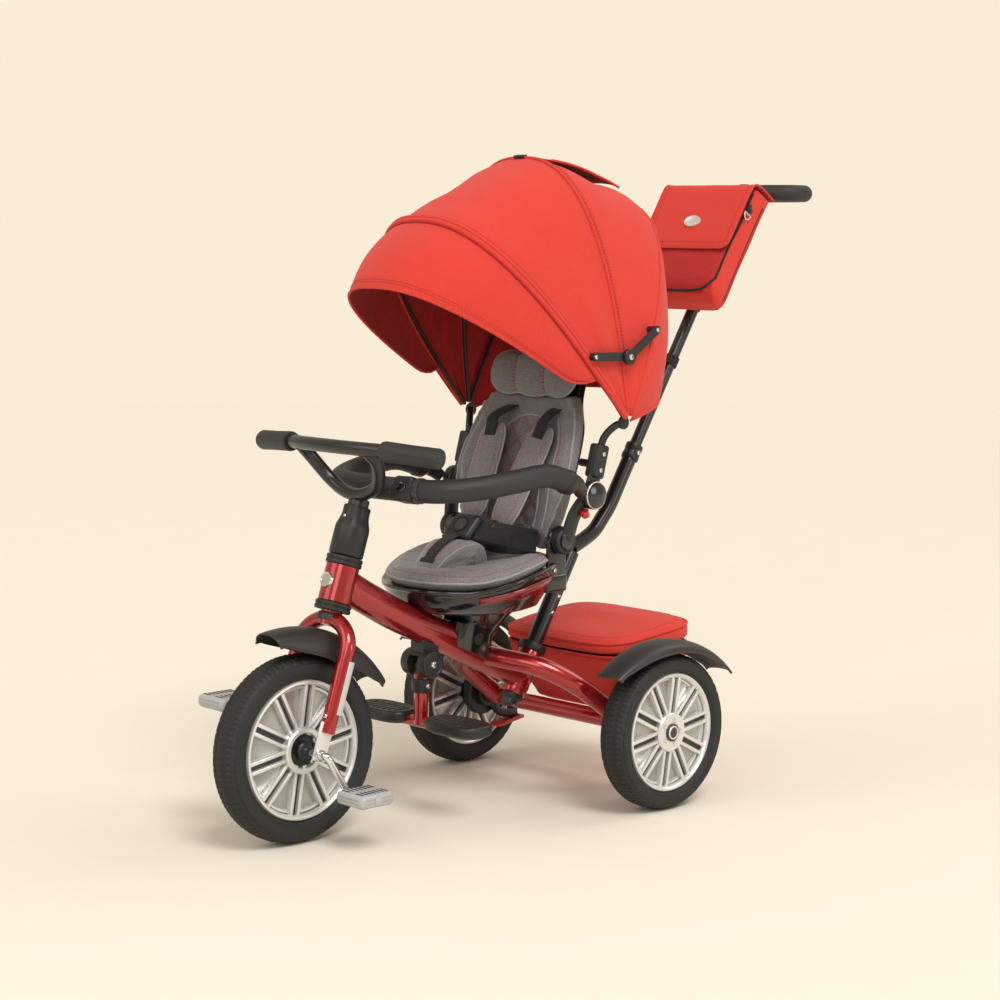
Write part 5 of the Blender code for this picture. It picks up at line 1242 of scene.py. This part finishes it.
def makeArmsAndRing():
    for side, sign in bothSides:
        def at(x, y, z):
            return Vector((sign * x, y, z))
        bits = [lathe("arm_boss", [(0.0, 0.0), (0.0215, 0.0), (0.0222, 0.0015), (0.0222, 0.0135),
                (0.0200, 0.0160), (0.0175, 0.0160), (0.0165, 0.0150), (0.0, 0.0150)],
                at(0.1265, -0.054, 0.447), (sign, 0, 0), matteBlack),
                pipe("arm_plate", [at(0.139, -0.052, 0.450), at(0.146, -0.042, 0.490),
                at(0.155, -0.020, 0.524), at(0.156, -0.004, 0.560), at(0.156, 0.006, 0.600)], 0.0125,
                matteBlack, sides=24, steps=6, oval=(0.62, 1.15), up=(0, -1, 0), rounded=0.003),
                form("arm_socket", (0.024, 0.026, 0.056),
                Matrix.Translation(at(0.156, -0.001, 0.576)) @ Matrix.Rotation(math.radians(-15), 4, "X"),
                matteBlack, 0.005, 4),
                pipe("canopy_rod", [at(0.156, 0.005, 0.594), at(0.161, 0.011, 0.616), at(0.172, 0.023, 0.633),
                at(0.183, 0.034, 0.639)], 0.0062, matteBlack, sides=18, steps=6, rounded=0.001),
                lathe("canopy_boss", [(0.0, 0.0), (0.0110, 0.0), (0.0110, 0.0045), (0.0095, 0.0056),
                (0.0, 0.0056)], at(0.1790, 0.034, 0.639), (sign, 0, 0), matteBlack),
                pipe("arm_bar", [at(0.150, 0.0, 0.570), at(0.110, 0.010, 0.570)], 0.0065, matteBlack,
                sides=16, steps=0),
                lathe("ring_knob", [(0.0, 0.0), (0.0215, 0.0), (0.0235, 0.0020), (0.0235, 0.0135),
                (0.0222, 0.0150)], at(0.156, -0.018, 0.522), (sign, 0, 0), matteBlack),
                lathe("knob_rim", [(0.0228, 0.0148), (0.0230, 0.0162), (0.0222, 0.0172), (0.0212, 0.0170)],
                at(0.156, -0.018, 0.522), (sign, 0, 0), silverPaint),
                lathe("knob_dome", [(0.0214, 0.0168), (0.0200, 0.0192), (0.0130, 0.0222), (0.0060, 0.0232),
                (0.0, 0.0235)], at(0.156, -0.018, 0.522), (sign, 0, 0), glossBlack)]
        put(join("seat_arm_smooth_" + side, bits), "backrest", "seat_arm_" + side)
        cap = [lathe("recline_cap", [(0.0150, 0.0), (0.0150, 0.0018), (0.0135, 0.0030), (0.0060, 0.0034),
                (0.0, 0.0034)], at(0.1420, -0.054, 0.447), (sign, 0, 0), glossBlack)]
        put(join("recline_cap_" + side, cap), "backrest")
        for z, y in ((0.562, -0.0042), (0.588, 0.0028)):
            screwHead("socket_screw_%s_%d" % (side, z * 1000), at(0.1678, y, z), (sign, 0, 0), 0.0040, chrome,
                    "backrest")
        top, bottom = at(0.1620, -0.036, 0.4975), at(0.1620, -0.031, 0.4860)
        put(lathe("release_smooth_" + side, [(0.0, 0.0), (0.0052, 0.0004), (0.0070, 0.0030), (0.0072, 0.0120),
                (0.0, 0.0125)], bottom, top - bottom, buttonRed), "ring_release_" + side,
                "ring_release_" + side)
    left = [Vector(p) for p in ringPath]
    right = [Vector((-x, y, z)) for x, y, z in ringPath] + [Vector((0.0, -0.347, 0.545)),
            Vector((0.0485, -0.3429, 0.545))]
    for side, sign, path, body in (("left", 1, left, "ring_left"), ("right", -1, right, "backrest")):
        hinge = Vector((sign * 0.168, -0.052, 0.530))
        start = path[0]
        bits = [pipe("ring_foam", path, 0.0188, foamGrey, sides=36, steps=8, rounded=0.003),
                pipe("ring_link", [start, start + Vector((0, 0.014, -0.003)),
                start + Vector((-sign * 0.003, 0.026, -0.010)), hinge], 0.0165, matteBlack, sides=26, steps=5,
                rounded=0.004, radii=lambda t: 1.0 - 0.35 * t),
                lathe("ring_collar", [(0.0120, -0.014), (0.0192, -0.012), (0.0202, -0.010), (0.0202, 0.004),
                (0.0190, 0.006)], start + Vector((0, -0.002, 0)), start - path[1], matteBlack)]
        if side == "left":
            a, b = Vector((0.0525, -0.3424, 0.545)), Vector((0.0860, -0.3335, 0.545))
            bits.append(form("lock_block", (0.0400, 0.0400, (b - a).length), facing((a + b) / 2, b - a, 0.0),
                    matteBlack, 0.0060, 5))
            bits.append(lathe("lock_band", [(0.0185, 0.0), (0.0200, 0.0004), (0.0204, 0.0015),
                    (0.0204, 0.0085), (0.0200, 0.0096), (0.0185, 0.0100)], b + (b - a).normalized() * 0.0005,
                    b - a, darkGreyAndGrooveShade))
        put(join("ring_smooth_" + side, bits), body, "ring_" + side)
    out = Vector((0.22, -0.92, 0.30)).normalized()
    press = Vector((0.0690, -0.3380, 0.5450)) + out * 0.014
    put(lathe("ring_button_smooth", [(0.0, 0.0102), (0.0050, 0.0101), (0.0078, 0.0094), (0.0090, 0.0076),
            (0.0090, 0.0035), (0.0, 0.0035)], press, out, glossBlack), "ring_button", "ring_button")
    put(lathe("button_seat", [(0.0094, 0.0040), (0.0096, 0.0064), (0.0118, 0.0062), (0.0124, 0.0030)], press,
            out, darkGreyAndGrooveShade), "ring_left")
    print("arms and ring made")


makeSeat()
makeBackrest()
makeHarness()
makeArmsAndRing()


# canopy: cloth over bows that lie in planes through the side pivots
hood = {"foot": 0.013, "power": 2.5, "count": 73,
        "rear": [(8.0, 0.4330, 0.1900), (-8.0, 0.4080, 0.1930), (-23.0, 0.3930, 0.1950),
        (-31.5, 0.3410, 0.1950), (-41.7, 0.2830, 0.1930), (-56.2, 0.2180, 0.1900), (-76.0, 0.1710, 0.1850)],
        "panel": [(8.6, 0.4335, 0.1905), (16.0, 0.4250, 0.1922), (25.0, 0.4195, 0.1935),
        (33.0, 0.4240, 0.1937), (40.8, 0.4345, 0.1935)],
        "visor": [(41.8, 0.4350, 0.1930), (47.0, 0.4430, 0.1920), (52.0, 0.4470, 0.1900),
        (56.5, 0.4465, 0.1860), (60.3, 0.4450, 0.1800)],
        "flatRear": (1.06, 0.60), "flatPanel": (1.06, 0.25), "flatVisor": (1.02, 0.145),
        "areaRear": 0.276, "areaPanel": 0.148, "areaVisor": 0.088,
        "flatVent": (0.126, 0.176), "areaVent": 0.0208, "flatFlap": (0.206, 0.205), "areaFlap": 0.0385}


def bowPoint(tilt, height, halfWidth, s, foot=None):
    # s runs from 0 at the left foot to 1 at the right foot
    foot = hood["foot"] if foot is None else foot
    a = math.pi * s
    c, sn = math.cos(a), max(0.0, math.sin(a))
    reach = foot + (height - foot) * sn ** (2 / hood["power"])
    lean = math.radians(tilt)
    return canopyPivot + Vector((halfWidth * math.copysign(abs(c) ** (2 / hood["power"]), c),
            -math.sin(lean) * reach, math.cos(lean) * reach))


def spread(i, count):
    # closer points near the feet, where the bow turns fastest
    t = i / (count - 1)
    return t - 0.10 * math.sin(2 * math.pi * t)


def hoodRows(table, steps, wrinkle=0.0, seed=0.0, clampVisor=False):
    rows = []
    path = smoothPath([Vector(row) for row in table], steps)
    for n, row in enumerate(path):
        line = []
        for i in range(hood["count"]):
            s = spread(i, hood["count"])
            tilt, height, half = row
            if clampVisor:
                reach = hood["foot"] + (height - hood["foot"]) * max(0.0,
                        math.sin(math.pi * s)) ** (2 / hood["power"])
                inner = (0.155 - reach) / 0.050
                share = 1.0 if inner <= 0 else (math.sqrt(max(0.0, 1 - inner * inner)) if inner < 1 else 0.0)
                tilt = table[0][0] + (tilt - table[0][0]) * share
                back = path[0]
                height, half = back.y + (height - back.y) * share, back.z + (half - back.z) * share
            p = bowPoint(tilt, height, half, s)
            edge = math.sin(math.pi * n / (len(path) - 1))
            if wrinkle:
                out = (p - canopyPivot).normalized()
                if table[-1][0] < -50:
                    p -= out * 0.013 * math.exp(-((row.x + 6.0) / 6.5) ** 2) * math.exp(-(p.x / 0.085) ** 2)
                fold = noise.noise(Vector((s * 7.0, n / len(path) * 5.0 + seed,
                        0.3))) + 0.5 * noise.noise(Vector((s * 16.0, n / len(path) * 3.0, seed)))
                p += out * wrinkle * fold * edge
            line.append(p)
        rows.append(line)
    return rows


def clothSheet(name, rows, outer, inner, thick=0.0016):
    sheet = skin(name, rows, [outer, inner])
    if sum(face.normal.dot(face.center - canopyPivot) for face in sheet.data.polygons) < 0:
        sheet.data.flip_normals()
    wall = sheet.modifiers.new("cloth", "SOLIDIFY")
    wall.thickness, wall.offset, wall.material_offset = thick, -1.0, 1
    freeze(sheet)
    sheet.data.shade_smooth()
    return sheet


def bowLine(table, count=90, grow=0.0, first=0.0, last=1.0):
    return [bowPoint(table[0], table[1] + grow, table[2] + grow,
            first + (last - first) * spread(i, count)) for i in range(count)]


def outward(points):
    return [(p - canopyPivot).normalized() for p in points]


def makeCanopy():
    rear = clothSheet("canopy_rear_cloth", hoodRows(hood["rear"], 7, 0.0022, 4.0), redCloth, redLiningAndPaintedShade)
    put(rear, "backrest", "canopy_rear")
    panel = clothSheet("canopy_panel_cloth", hoodRows(hood["panel"], 8, 0.0045, 1.0), redCloth, redLiningAndPaintedShade)
    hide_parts("canopy_panel")
    lean = math.radians(24.7)
    tangent = Vector((0.0, -math.cos(lean), -math.sin(lean)))
    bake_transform(panel)
    visor = clothSheet("canopy_visor_cloth", hoodRows(hood["visor"], 6, 0.0, 0.0, True), redCloth, redLiningAndPaintedShade)
    put(visor, "canopy_front", "canopy_visor")
    # raised double band over the front bow
    tangent = Vector((0.0, -math.cos(math.radians(41.3)), -math.sin(math.radians(41.3))))
    line = bowLine((41.3, 0.4370, 0.1945))
    ends = [1.0 - 0.75 * abs(2 * i / (len(line) - 1) - 1) ** 10 for i in range(len(line))]
    # painted shadow: thin lines in the darker lining red along and between the raised ribs
    bits = [pipe("band_shadow",
            [p + tangent * side * 0.0086 * e - (p - canopyPivot).normalized() * 0.0010 for p,
            e in zip(line, ends)], 0.0014, redLiningAndPaintedShade, sides=8, steps=1) for side in (-1, 0, 1)]
    bits += [pipe("band_rib", [p + tangent * side * 0.0037 * e for p, e in zip(line, ends)], 0.0042, redCloth,
            sides=14, steps=1) for side in (-1, 1)]
    stitches = [p + tangent * 0.0100 * e for p, e in zip(line, ends)][12:-12]
    bits.append(stitchRow("band_stitch", [p + n * 0.0006 for p, n in zip(stitches, outward(stitches))],
            outward(stitches), stitchRed))
    put(join("canopy_front_band", bits), "canopy_front")
    rows = hoodRows(hood["visor"], 6, 0.0, 0.0, True)
    bits = [pipe("visor_hem", rows[-1], 0.0022, redCloth, sides=10, steps=1)]
    for n in (-3, -4):
        row = rows[n][8:-8]
        bits.append(stitchRow("hem_stitch", [p + o * 0.0004 for p, o in zip(row, outward(row))], outward(row),
                stitchRed))
    put(join("canopy_hem", bits), "canopy_front")
    # middle seam with piping, and seams over the rear bows
    line = bowLine((8.3, 0.4345, 0.1912))
    bits = [pipe("seam_piping", line, 0.0030, redCloth, sides=12, steps=1)]
    for shift in (-0.0062, -0.0090):
        lean = math.radians(8.3)
        row = [p + Vector((0.0, -math.cos(lean), -math.sin(lean))) * shift for p in line][10:-10]
        row = [p + o * 0.0004 for p, o in zip(row, outward(row))]
        bits.append(stitchRow("seam_stitch", row, outward(row), stitchRed))
    for table in ((-23.0, 0.3935, 0.1953), (-76.0, 0.1712, 0.1852)):
        bits.append(pipe("rear_seam", bowLine(table), 0.0022, redCloth, sides=10, steps=1))
    top = bowPoint(8.4, 0.4360, 0.19, 0.5)
    clip = form("top_clip", (0.022, 0.013, 0.0050),
            Matrix.Translation(top + Vector((0, 0, 0.0008))) @ Matrix.Rotation(math.radians(8.4), 4, "X"),
            matteBlack, 0.002)
    bits.append(clip)
    put(join("canopy_seams", bits), "backrest")
    # wire bows inside, seen against the lining
    for name, body, table in (("front", "canopy_front", (41.0, 0.4290, 0.1880)),
            ("middle", "backrest", (7.0, 0.4270, 0.1850)), ("rear", "backrest", (-23.5, 0.3860, 0.1890))):
        put(pipe("canopy_bow_" + name, bowLine(table), 0.0032, matteBlack, sides=12, steps=1), body)
    # vent flap behind the middle seam
    rows = []
    for k in range(15):
        t = k / 14
        tilt = 7.0 - 23.5 * t
        base = 0.4330 - 0.0250 * min(1.0, (8.0 - tilt) / 16.0) - 0.0150 * max(0.0, (-8.0 - tilt) / 15.0)
        rise = 0.0020 + 0.0085 * t ** 1.3
        row = []
        for i in range(31):
            u = -1 + 2 * i / 30
            p = canopyPivot + Vector((u * (0.062 - 0.006 * t),
                    -math.sin(math.radians(tilt)) * (base + rise * (1 - 0.5 * abs(u) ** 4)),
                    math.cos(math.radians(tilt)) * (base + rise * (1 - 0.5 * abs(u) ** 4) - 0.004 * u * u)))
            row.append(p)
        rows.append(row)
    vent = clothSheet("canopy_vent", rows, redCloth, redLiningAndPaintedShade)
    put(vent, "backrest")
    edge = [row[0] for row in rows] + rows[-1][1:] + [row[-1] for row in rows[-2::-1]]
    put(pipe("vent_edge", edge, 0.0020, redCloth, sides=10, steps=1), "backrest")
    # stretcher rivets and knees
    for side, sign in bothSides:
        knee = Vector((sign * 0.2030, 0.0200, 0.7480))
        bits = [lathe("knee_disc", [(0.0, -0.003), (0.0122, -0.003), (0.0130, -0.001), (0.0130, 0.0048),
                (0.0118, 0.0062), (0.0, 0.0062)], knee, (sign, 0, 0), matteBlack)]
        put(join("stretcher_knee_" + side, bits), "stretcher_front_" + side)
        screwHead("knee_screw_" + side, knee + Vector((sign * 0.0062, 0, 0)), (sign, 0, 0), 0.0052, chrome,
                "stretcher_front_" + side)
        screwHead("stretcher_front_screw_" + side, (sign * 0.2037, -0.056, 0.750), (sign, 0, 0), 0.0040,
                chrome, "stretcher_front_" + side)
        screwHead("stretcher_rear_screw_" + side, (sign * 0.2077, 0.085, 0.790), (sign, 0, 0), 0.0040, chrome,
                "stretcher_rear_" + side)
        stand = [lathe("stretcher_spacer", [(0.0055, -0.012), (0.0062, 0.0)], (sign * 0.1998, -0.056, 0.750),
                (sign, 0, 0), matteBlack)]
        put(join("spacer_front_" + side, stand), "canopy_front")
        put(lathe("spacer_rear_" + side, [(0.0055, -0.016), (0.0062, 0.0)], (sign * 0.2038, 0.085, 0.790),
                (sign, 0, 0), matteBlack), "backrest")
    # strap from the hood's rear hem to the push tube
    strap = [Vector((0, 0.1960, 0.6860)), Vector((0, 0.2350, 0.6960)), Vector((0, 0.2850, 0.7120)),
            Vector((0, 0.3250, 0.7210)), Vector((0, 0.3400, 0.7220))]
    piece = webStrip("canopy_strap", strap, 0.018, [Vector((0, -0.25, 1))] * 5)
    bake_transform(piece)
    loop = lathe("strap_loop", [(0.0118, -0.009), (0.0132, -0.0085), (0.0132, 0.0085), (0.0118, 0.009)],
            pushPoint(0.1850), pushDir, webbing)
    put(loop, "frame")
    print("canopy made")


# push handle, its bag and the rear basket
bagPlan = {"half": 0.0985, "low": 0.2665, "high": 0.4890, "back": 0.0160, "front": 0.0765}


def makePushHandle():
    lower = [Vector(p) for p in ((0.0, 0.1025, 0.4085), (0.0, 0.1125, 0.4120), (0.0, 0.1350, 0.4210),
            (0.0, 0.1580, 0.4330), (0.0, 0.1770, 0.4520))] + [pushPoint(-0.105), pushPoint(-0.060),
            pushPoint(-0.0145)]
    put(pipe("push_tube_low_smooth", lower, 0.013, satinBlack, sides=28, steps=7, rounded=0.001), "frame",
            "push_tube_lower")
    put(lathe("push_clamp_smooth", [(0.0112, -0.014), (0.0148, -0.014), (0.0155, -0.0128), (0.0155, -0.0050),
            (0.0148, -0.0040), (0.0148, 0.0040), (0.0155, 0.0050), (0.0155, 0.0128), (0.0148, 0.014),
            (0.0112, 0.014)], pushClamp, pushDir, matteBlack), "frame", "push_clamp")
    screwHead("clamp_screw", pushClamp + Vector((0.0155, 0, 0)), (1, 0, 0), 0.0044, chrome, "frame")
    end = Vector((0.0, 0.598 - 0.0440, 1.020))
    upper = [pushPoint(-0.050), pushPoint(0.10), pushPoint(0.25), pushPoint(0.40), pushPoint(0.455),
            pushPoint(0.490, -0.004), pushPoint(0.515, -0.016), Vector((0.0, 0.598 - 0.0765, 1.020)), end]
    put(pipe("push_tube_up_smooth", upper, 0.0105, satinBlack, sides=26, steps=6, rounded=0.001),
            "push_upper", "push_tube_upper")
    centre = Vector((0.0, 0.598, 1.020))
    loop = [centre + Vector((0.084 * math.copysign(abs(math.cos(a)) ** 0.8, math.cos(a)),
            0.044 * math.copysign(abs(math.sin(a)) ** 0.8, math.sin(a)),
            0.0)) for a in (2 * math.pi * k / 96 for k in range(96))]
    bits = [pipe("grip_loop", loop, 0.0153, foamGrey, sides=28, steps=0, cyclic=True, up=(0, 0, 1)),
            lathe("grip_collar", [(0.0108, -0.020), (0.0150, -0.018), (0.0165, -0.010), (0.0165, 0.004)],
            end + Vector((0, -0.006, 0)), (0, 1, 0), matteBlack)]
    put(join("handle_grip_smooth", bits), "push_upper", "handle_grip")


def bagPoint(a, u, f):
    return pushPoint(a + 0.012, f + 0.003, u)


def makeBag():
    low, high, half = bagPlan["low"], bagPlan["high"], bagPlan["half"]
    rows = []
    for i in range(33):
        t = i / 32
        a = low + (high - low) * t
        foot = math.sqrt(max(0.0, 1 - (1 - min(1.0, t / 0.12)) ** 2)) if t < 0.12 else 1.0
        wide = half * (0.90 + 0.10 * foot) * (1.0 - 0.016 * math.sin(math.pi * t))
        sag = 0.0045 * math.sin(math.pi * min(1.0, t * 1.25)) ** 2
        front = bagPlan["back"] + (bagPlan["front"] - bagPlan["back"]) * (0.55 + 0.45 * foot) * (0.94 + 0.06 * (1 - t)) + sag
        back = bagPlan["back"] + 0.004 * (1 - foot)
        middle, deep = (front + back) / 2, (front - back) / 2
        row = []
        for k in range(96):
            ang = 2 * math.pi * k / 96
            u = wide * math.copysign(abs(math.cos(ang)) ** (2 / 6.0), math.cos(ang))
            f = middle + deep * math.copysign(abs(math.sin(ang)) ** (2 / 6.0), math.sin(ang))
            ripple = 0.0016 * noise.noise(Vector((u * 22, t * 4.0, f * 30)))
            row.append(bagPoint(a, u, f + ripple))
        rows.append(row)
    bag = skin("handle_bag_cloth", rows, [redCloth, redPaintedShade], closeRow=True, capStart=True, capEnd=True)
    front = Vector((0, -pushDir.z, pushDir.y))
    # faces that look to the front take the darker red: painted shade on the bag front
    for face in bag.data.polygons:
        if face.normal.dot(front) > 0.75:
            face.material_index = 1
    put(bag, "push_upper", "handle_bag")
    bits = []
    corner = 0.030
    line = [(half - 0.004, high - 0.01), (half - 0.004, high - 0.07), (half - 0.004, low + 0.10),
            (half - 0.004, low + corner + 0.012)]
    line += [(half - 0.004 - corner * (1 - math.cos(q)),
            low + 0.012 + corner * (1 - math.sin(q))) for q in (math.pi / 2 * k / 6 for k in range(1, 7))]
    line += [(u, low + 0.010) for u in (0.04, 0.0)]
    outline = [bagPoint(a, u, 0.12) for u, a in line] + [bagPoint(a, -u, 0.12) for u,
            a in reversed(line[:-1])]
    path, normals = landOn(bag, smoothPath(outline, 4), -front)
    bits.append(pipe("bag_piping", path, 0.0024, blackCloth, sides=12, steps=1))
    inner = [bagPoint(low + 0.02 + (a - low) * 0.93, u * 0.93, 0.12) for u,
            a in line] + [bagPoint(low + 0.02 + (a - low) * 0.93, -u * 0.93, 0.12) for u,
            a in reversed(line[:-1])]
    path, normals = landOn(bag, smoothPath(inner, 4), -front)
    bits.append(stitchRow("bag_stitch", path, normals, stitchRed))
    for sign in (1, -1):
        for f in (0.030, 0.034):
            zipLine = [bagPoint(low + 0.012 + (high - low - 0.03) * k / 40, sign * 0.14,
                    f) for k in range(41)]
            path, normals = landOn(bag, zipLine, (-sign, 0, 0))
            # the black line is the zip; the darker red line beside it is painted shade
            bits.append(pipe("gusset_zip", path, 0.0010, blackCloth if f > 0.031 else redPaintedShade, sides=8,
                    steps=1))
    tab = [bagPoint(0.455, 0.0975, 0.058), bagPoint(0.450, 0.1000, 0.063), bagPoint(0.444, 0.1005, 0.066)]
    bits.append(webStrip("bag_tab", tab, 0.014, [Vector((1, 0, 0))] * 3))
    ring = [bagPoint(0.440 - 0.010 * math.sin(q) - 0.002, 0.1015,
            0.066 + 0.0085 * math.cos(q)) for q in (math.pi * k / 12 for k in range(13))]
    bits.append(pipe("bag_ring", ring, 0.0014, chrome, sides=12, steps=2, cyclic=True))
    for u in (-0.060, 0.060):
        loop = lathe("bag_strap", [(0.0112, -0.007), (0.0126, -0.0065), (0.0126, 0.0065), (0.0112, 0.007)],
                pushPoint(0.300 if u < 0 else 0.455), pushDir, webbing)
        bits.append(loop)
    put(join("bag_trim", bits), "push_upper")
    # the flap: one sheet over the top and down the front, cut off at one corner
    rows = []
    profile = [(0.4945, 0.0200), (0.4958, 0.0400), (0.4958, 0.0600), (0.4935, 0.0740), (0.4860, 0.0812),
            (0.4700, 0.0832), (0.4400, 0.0836), (0.4100, 0.0840), (0.3800, 0.0842), (0.3560, 0.0840)]
    path = smoothPath([Vector((0, a, f)) for a, f in profile], 4)
    for i in range(41):
        u = -0.1030 + 0.2060 * i / 40
        cut = 1.0 - 0.055 * max(0.0, (abs(u) - 0.085) / 0.018) ** 2
        length = len(path) - 1
        row = []
        for k in range(37):
            t = k / 36
            at = min(length, t * length * cut)
            j = min(int(at), length - 1)
            p = path[j].lerp(path[j + 1], at - j)
            row.append(bagPoint(p.y, u, p.z + 0.0012 * noise.noise(Vector((u * 18, t * 5, 2.0)))))
        rows.append(row)
    flap = skin("bag_flap_cloth", rows, [redCloth, redLiningAndPaintedShade])
    if sum(face.normal.dot(front) for face in flap.data.polygons) < 0:
        flap.data.flip_normals()
    wall = flap.modifiers.new("cloth", "SOLIDIFY")
    wall.thickness, wall.offset, wall.material_offset = 0.0018, -1.0, 1
    freeze(flap)
    put(flap, "bag_flap", "bag_flap")
    hem = [rows[0][k] for k in range(0, 37)] + [row[-1] for row in rows[1:]] + [rows[-1][k] for k in range(35,
            -1, -1)]
    bits = [pipe("flap_binding", hem, 0.0017, redCloth, sides=10, steps=1)]
    inset = [rows[2][k] for k in range(4,
            35)] + [row[34] for row in rows[3:-3]] + [rows[-3][k] for k in range(34, 3, -1)]
    path, normals = hug(flap, [p + front * 0.003 for p in inset], 0.0002)
    bits.append(stitchRow("flap_stitch", path, normals, stitchRed))
    plate = lathe("flap_plate", [(0.0, 0.0030), (0.0105, 0.0028), (0.0118, 0.0036), (0.0130, 0.0034),
            (0.0138, 0.0010), (0.0138, -0.001)], (0, 0, 0), (0, 0, 1), silverPaint, steps=64)
    plate.matrix_world = facing(bagPoint(0.410, 0.0, 0.0842), front) @ Matrix.Diagonal((1.35, 0.85, 1.0, 1.0))
    bits.append(plate)
    put(join("flap_trim", bits), "bag_flap")
    print("push handle and bag made")


def basketLoop(halfX, yFront, yBack, zFront, zBack, power=5.0, count=96):
    ring = []
    for k in range(count):
        a = 2 * math.pi * k / count
        x = halfX * math.copysign(abs(math.cos(a)) ** (2 / power), math.cos(a))
        y = (yFront + yBack) / 2 + (yBack - yFront) / 2 * math.copysign(abs(math.sin(a)) ** (2 / power),
                math.sin(a))
        ring.append(Vector((x, y, zFront + (y - yFront) * (zBack - zFront) / (yBack - yFront))))
    return ring


def makeBasket():
    table = [(0.100, 0.121, 0.235, 0.1335, 0.1325), (0.1090, 0.114, 0.250, 0.1380, 0.1370),
            (0.120, 0.111, 0.262, 0.148, 0.148), (0.131, 0.090, 0.271, 0.178, 0.178),
            (0.138, 0.072, 0.276, 0.205, 0.205),
             (0.140, 0.064, 0.278, 0.225, 0.232), (0.140, 0.062, 0.278, 0.2365, 0.2465)]
    rows = [basketLoop(*row) for row in table]
    fine = []
    for i in range(96):
        fine.append(smoothPath([row[i] for row in rows], 4))
    rows = [[fine[i][n] for i in range(96)] for n in range(len(fine[0]))]
    for n, row in enumerate(rows):
        for k, p in enumerate(row):
            pull = 0.0020 * noise.noise(Vector((p.x * 20, p.y * 20,
                    p.z * 12))) * math.sin(math.pi * n / (len(rows) - 1))
            row[k] = p + Vector((p.x, p.y - 0.17, 0)).normalized() * pull
    tub = skin("basket_cloth", rows, [redCloth, redLiningAndPaintedShade], closeRow=True, capStart=True)
    wall = tub.modifiers.new("cloth", "SOLIDIFY")
    wall.thickness, wall.offset, wall.material_offset = 0.0022, -1.0, 1
    freeze(tub)
    put(tub, "frame", "basket")
    bits = []
    for k in (6, 42, 54, 90):
        bits.append(pipe("basket_seam", [row[k] for row in rows[1:]], 0.0019, redCloth, sides=10, steps=1))
        line = [row[k + 2] for row in rows[2:]]
        path, normals = hug(tub, [p * 1.0 + Vector((p.x, p.y - 0.17, 0)).normalized() * 0.003 for p in line],
                0.0003)
        bits.append(stitchRow("basket_stitch", path, normals, stitchRed))
    # rim piping under the lid in the darker red: painted shade
    bits.append(pipe("basket_rim", [p for p in rows[-2]], 0.0028, redPaintedShade, sides=12, steps=1, cyclic=True))
    for sign in (1, -1):
        patch = []
        for n in range(7):
            patch.append([Vector((sign * abs(rows[n][k].x), rows[n][k].y, rows[n][k].z)) + Vector((sign * 0.9,
                    -0.5, -0.3)).normalized() * 0.0015 for k in range(80, 95)])
        bits.append(skin("corner_patch", patch, blackCloth))
    put(join("basket_trim", bits), "frame")
    lid = [(0.1410, 0.0612, 0.2788, 0.2375, 0.2475, 5.0), (0.1425, 0.0597, 0.2803, 0.2420, 0.2560, 5.0),
            (0.1430, 0.0592, 0.2808, 0.2500, 0.2690, 5.0), (0.1418, 0.0605, 0.2795, 0.2560, 0.2780, 4.8),
           (0.1365, 0.066, 0.274, 0.2620, 0.2835, 4.5), (0.1240, 0.078, 0.262, 0.2680, 0.2875, 4.0),
           (0.0980, 0.102, 0.238, 0.2725, 0.2885, 3.5), (0.0600, 0.135, 0.205, 0.2765, 0.2885, 3.0),
           (0.0180, 0.162, 0.178, 0.2800, 0.2875, 2.2)]
    rows = [basketLoop(*row) for row in lid]
    for n, row in enumerate(rows):
        for k, p in enumerate(row):
            row[k] = p + Vector((0, 0, 0.0018 * noise.noise(Vector((p.x * 14, p.y * 14,
                    3.0))) * (n / len(rows))))
    cover = skin("basket_lid_cloth", rows, redCloth, closeRow=True, capStart=True, capEnd=True)
    finer = cover.modifiers.new("finer", "SUBSURF")
    finer.levels = finer.render_levels = 1
    freeze(cover)
    cover.data.shade_smooth()
    put(cover, "basket_lid", "basket_lid")
    edge = [p + Vector((p.x, p.y - 0.17, 0)).normalized() * 0.0002 for p in basketLoop(0.1418, 0.0605, 0.2795,
            0.2565, 0.2785, 4.8)]
    bits = [pipe("lid_piping", edge, 0.0024, redCloth, sides=12, steps=1, cyclic=True)]
    inner = basketLoop(0.1290, 0.073, 0.267, 0.35, 0.35, 4.2, 200)
    path, normals = landOn(cover, inner + inner[:1], (0, 0, -1))
    bits.append(stitchRow("lid_stitch", path, normals, stitchRed))
    put(join("basket_lid_trim", bits), "basket_lid")
    print("basket made")


makeCanopy()
makePushHandle()
makeBag()
makeBasket()


# everything else keeps its shape and gets a finish
keptFinishes = {"paint_red": candyRed, "paint_black": satinBlack, "plastic_black": matteBlack,
        "plastic_dark_grey": fenderGrey,
                "plastic_gloss_black": glossBlack, "steel": chrome, "alloy": silverPaint, "foam": foamGrey,
                "grey_cloth": greyWool,
                "red_cloth": redCloth, "release_red": buttonRed}
for node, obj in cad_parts.items():
    for slot in obj.material_slots:
        name = slot.material.name.split(".")[0] if slot.material else ""
        slot.link = "OBJECT"
        slot.material = keptFinishes.get(name, matteBlack)
print("scene made")
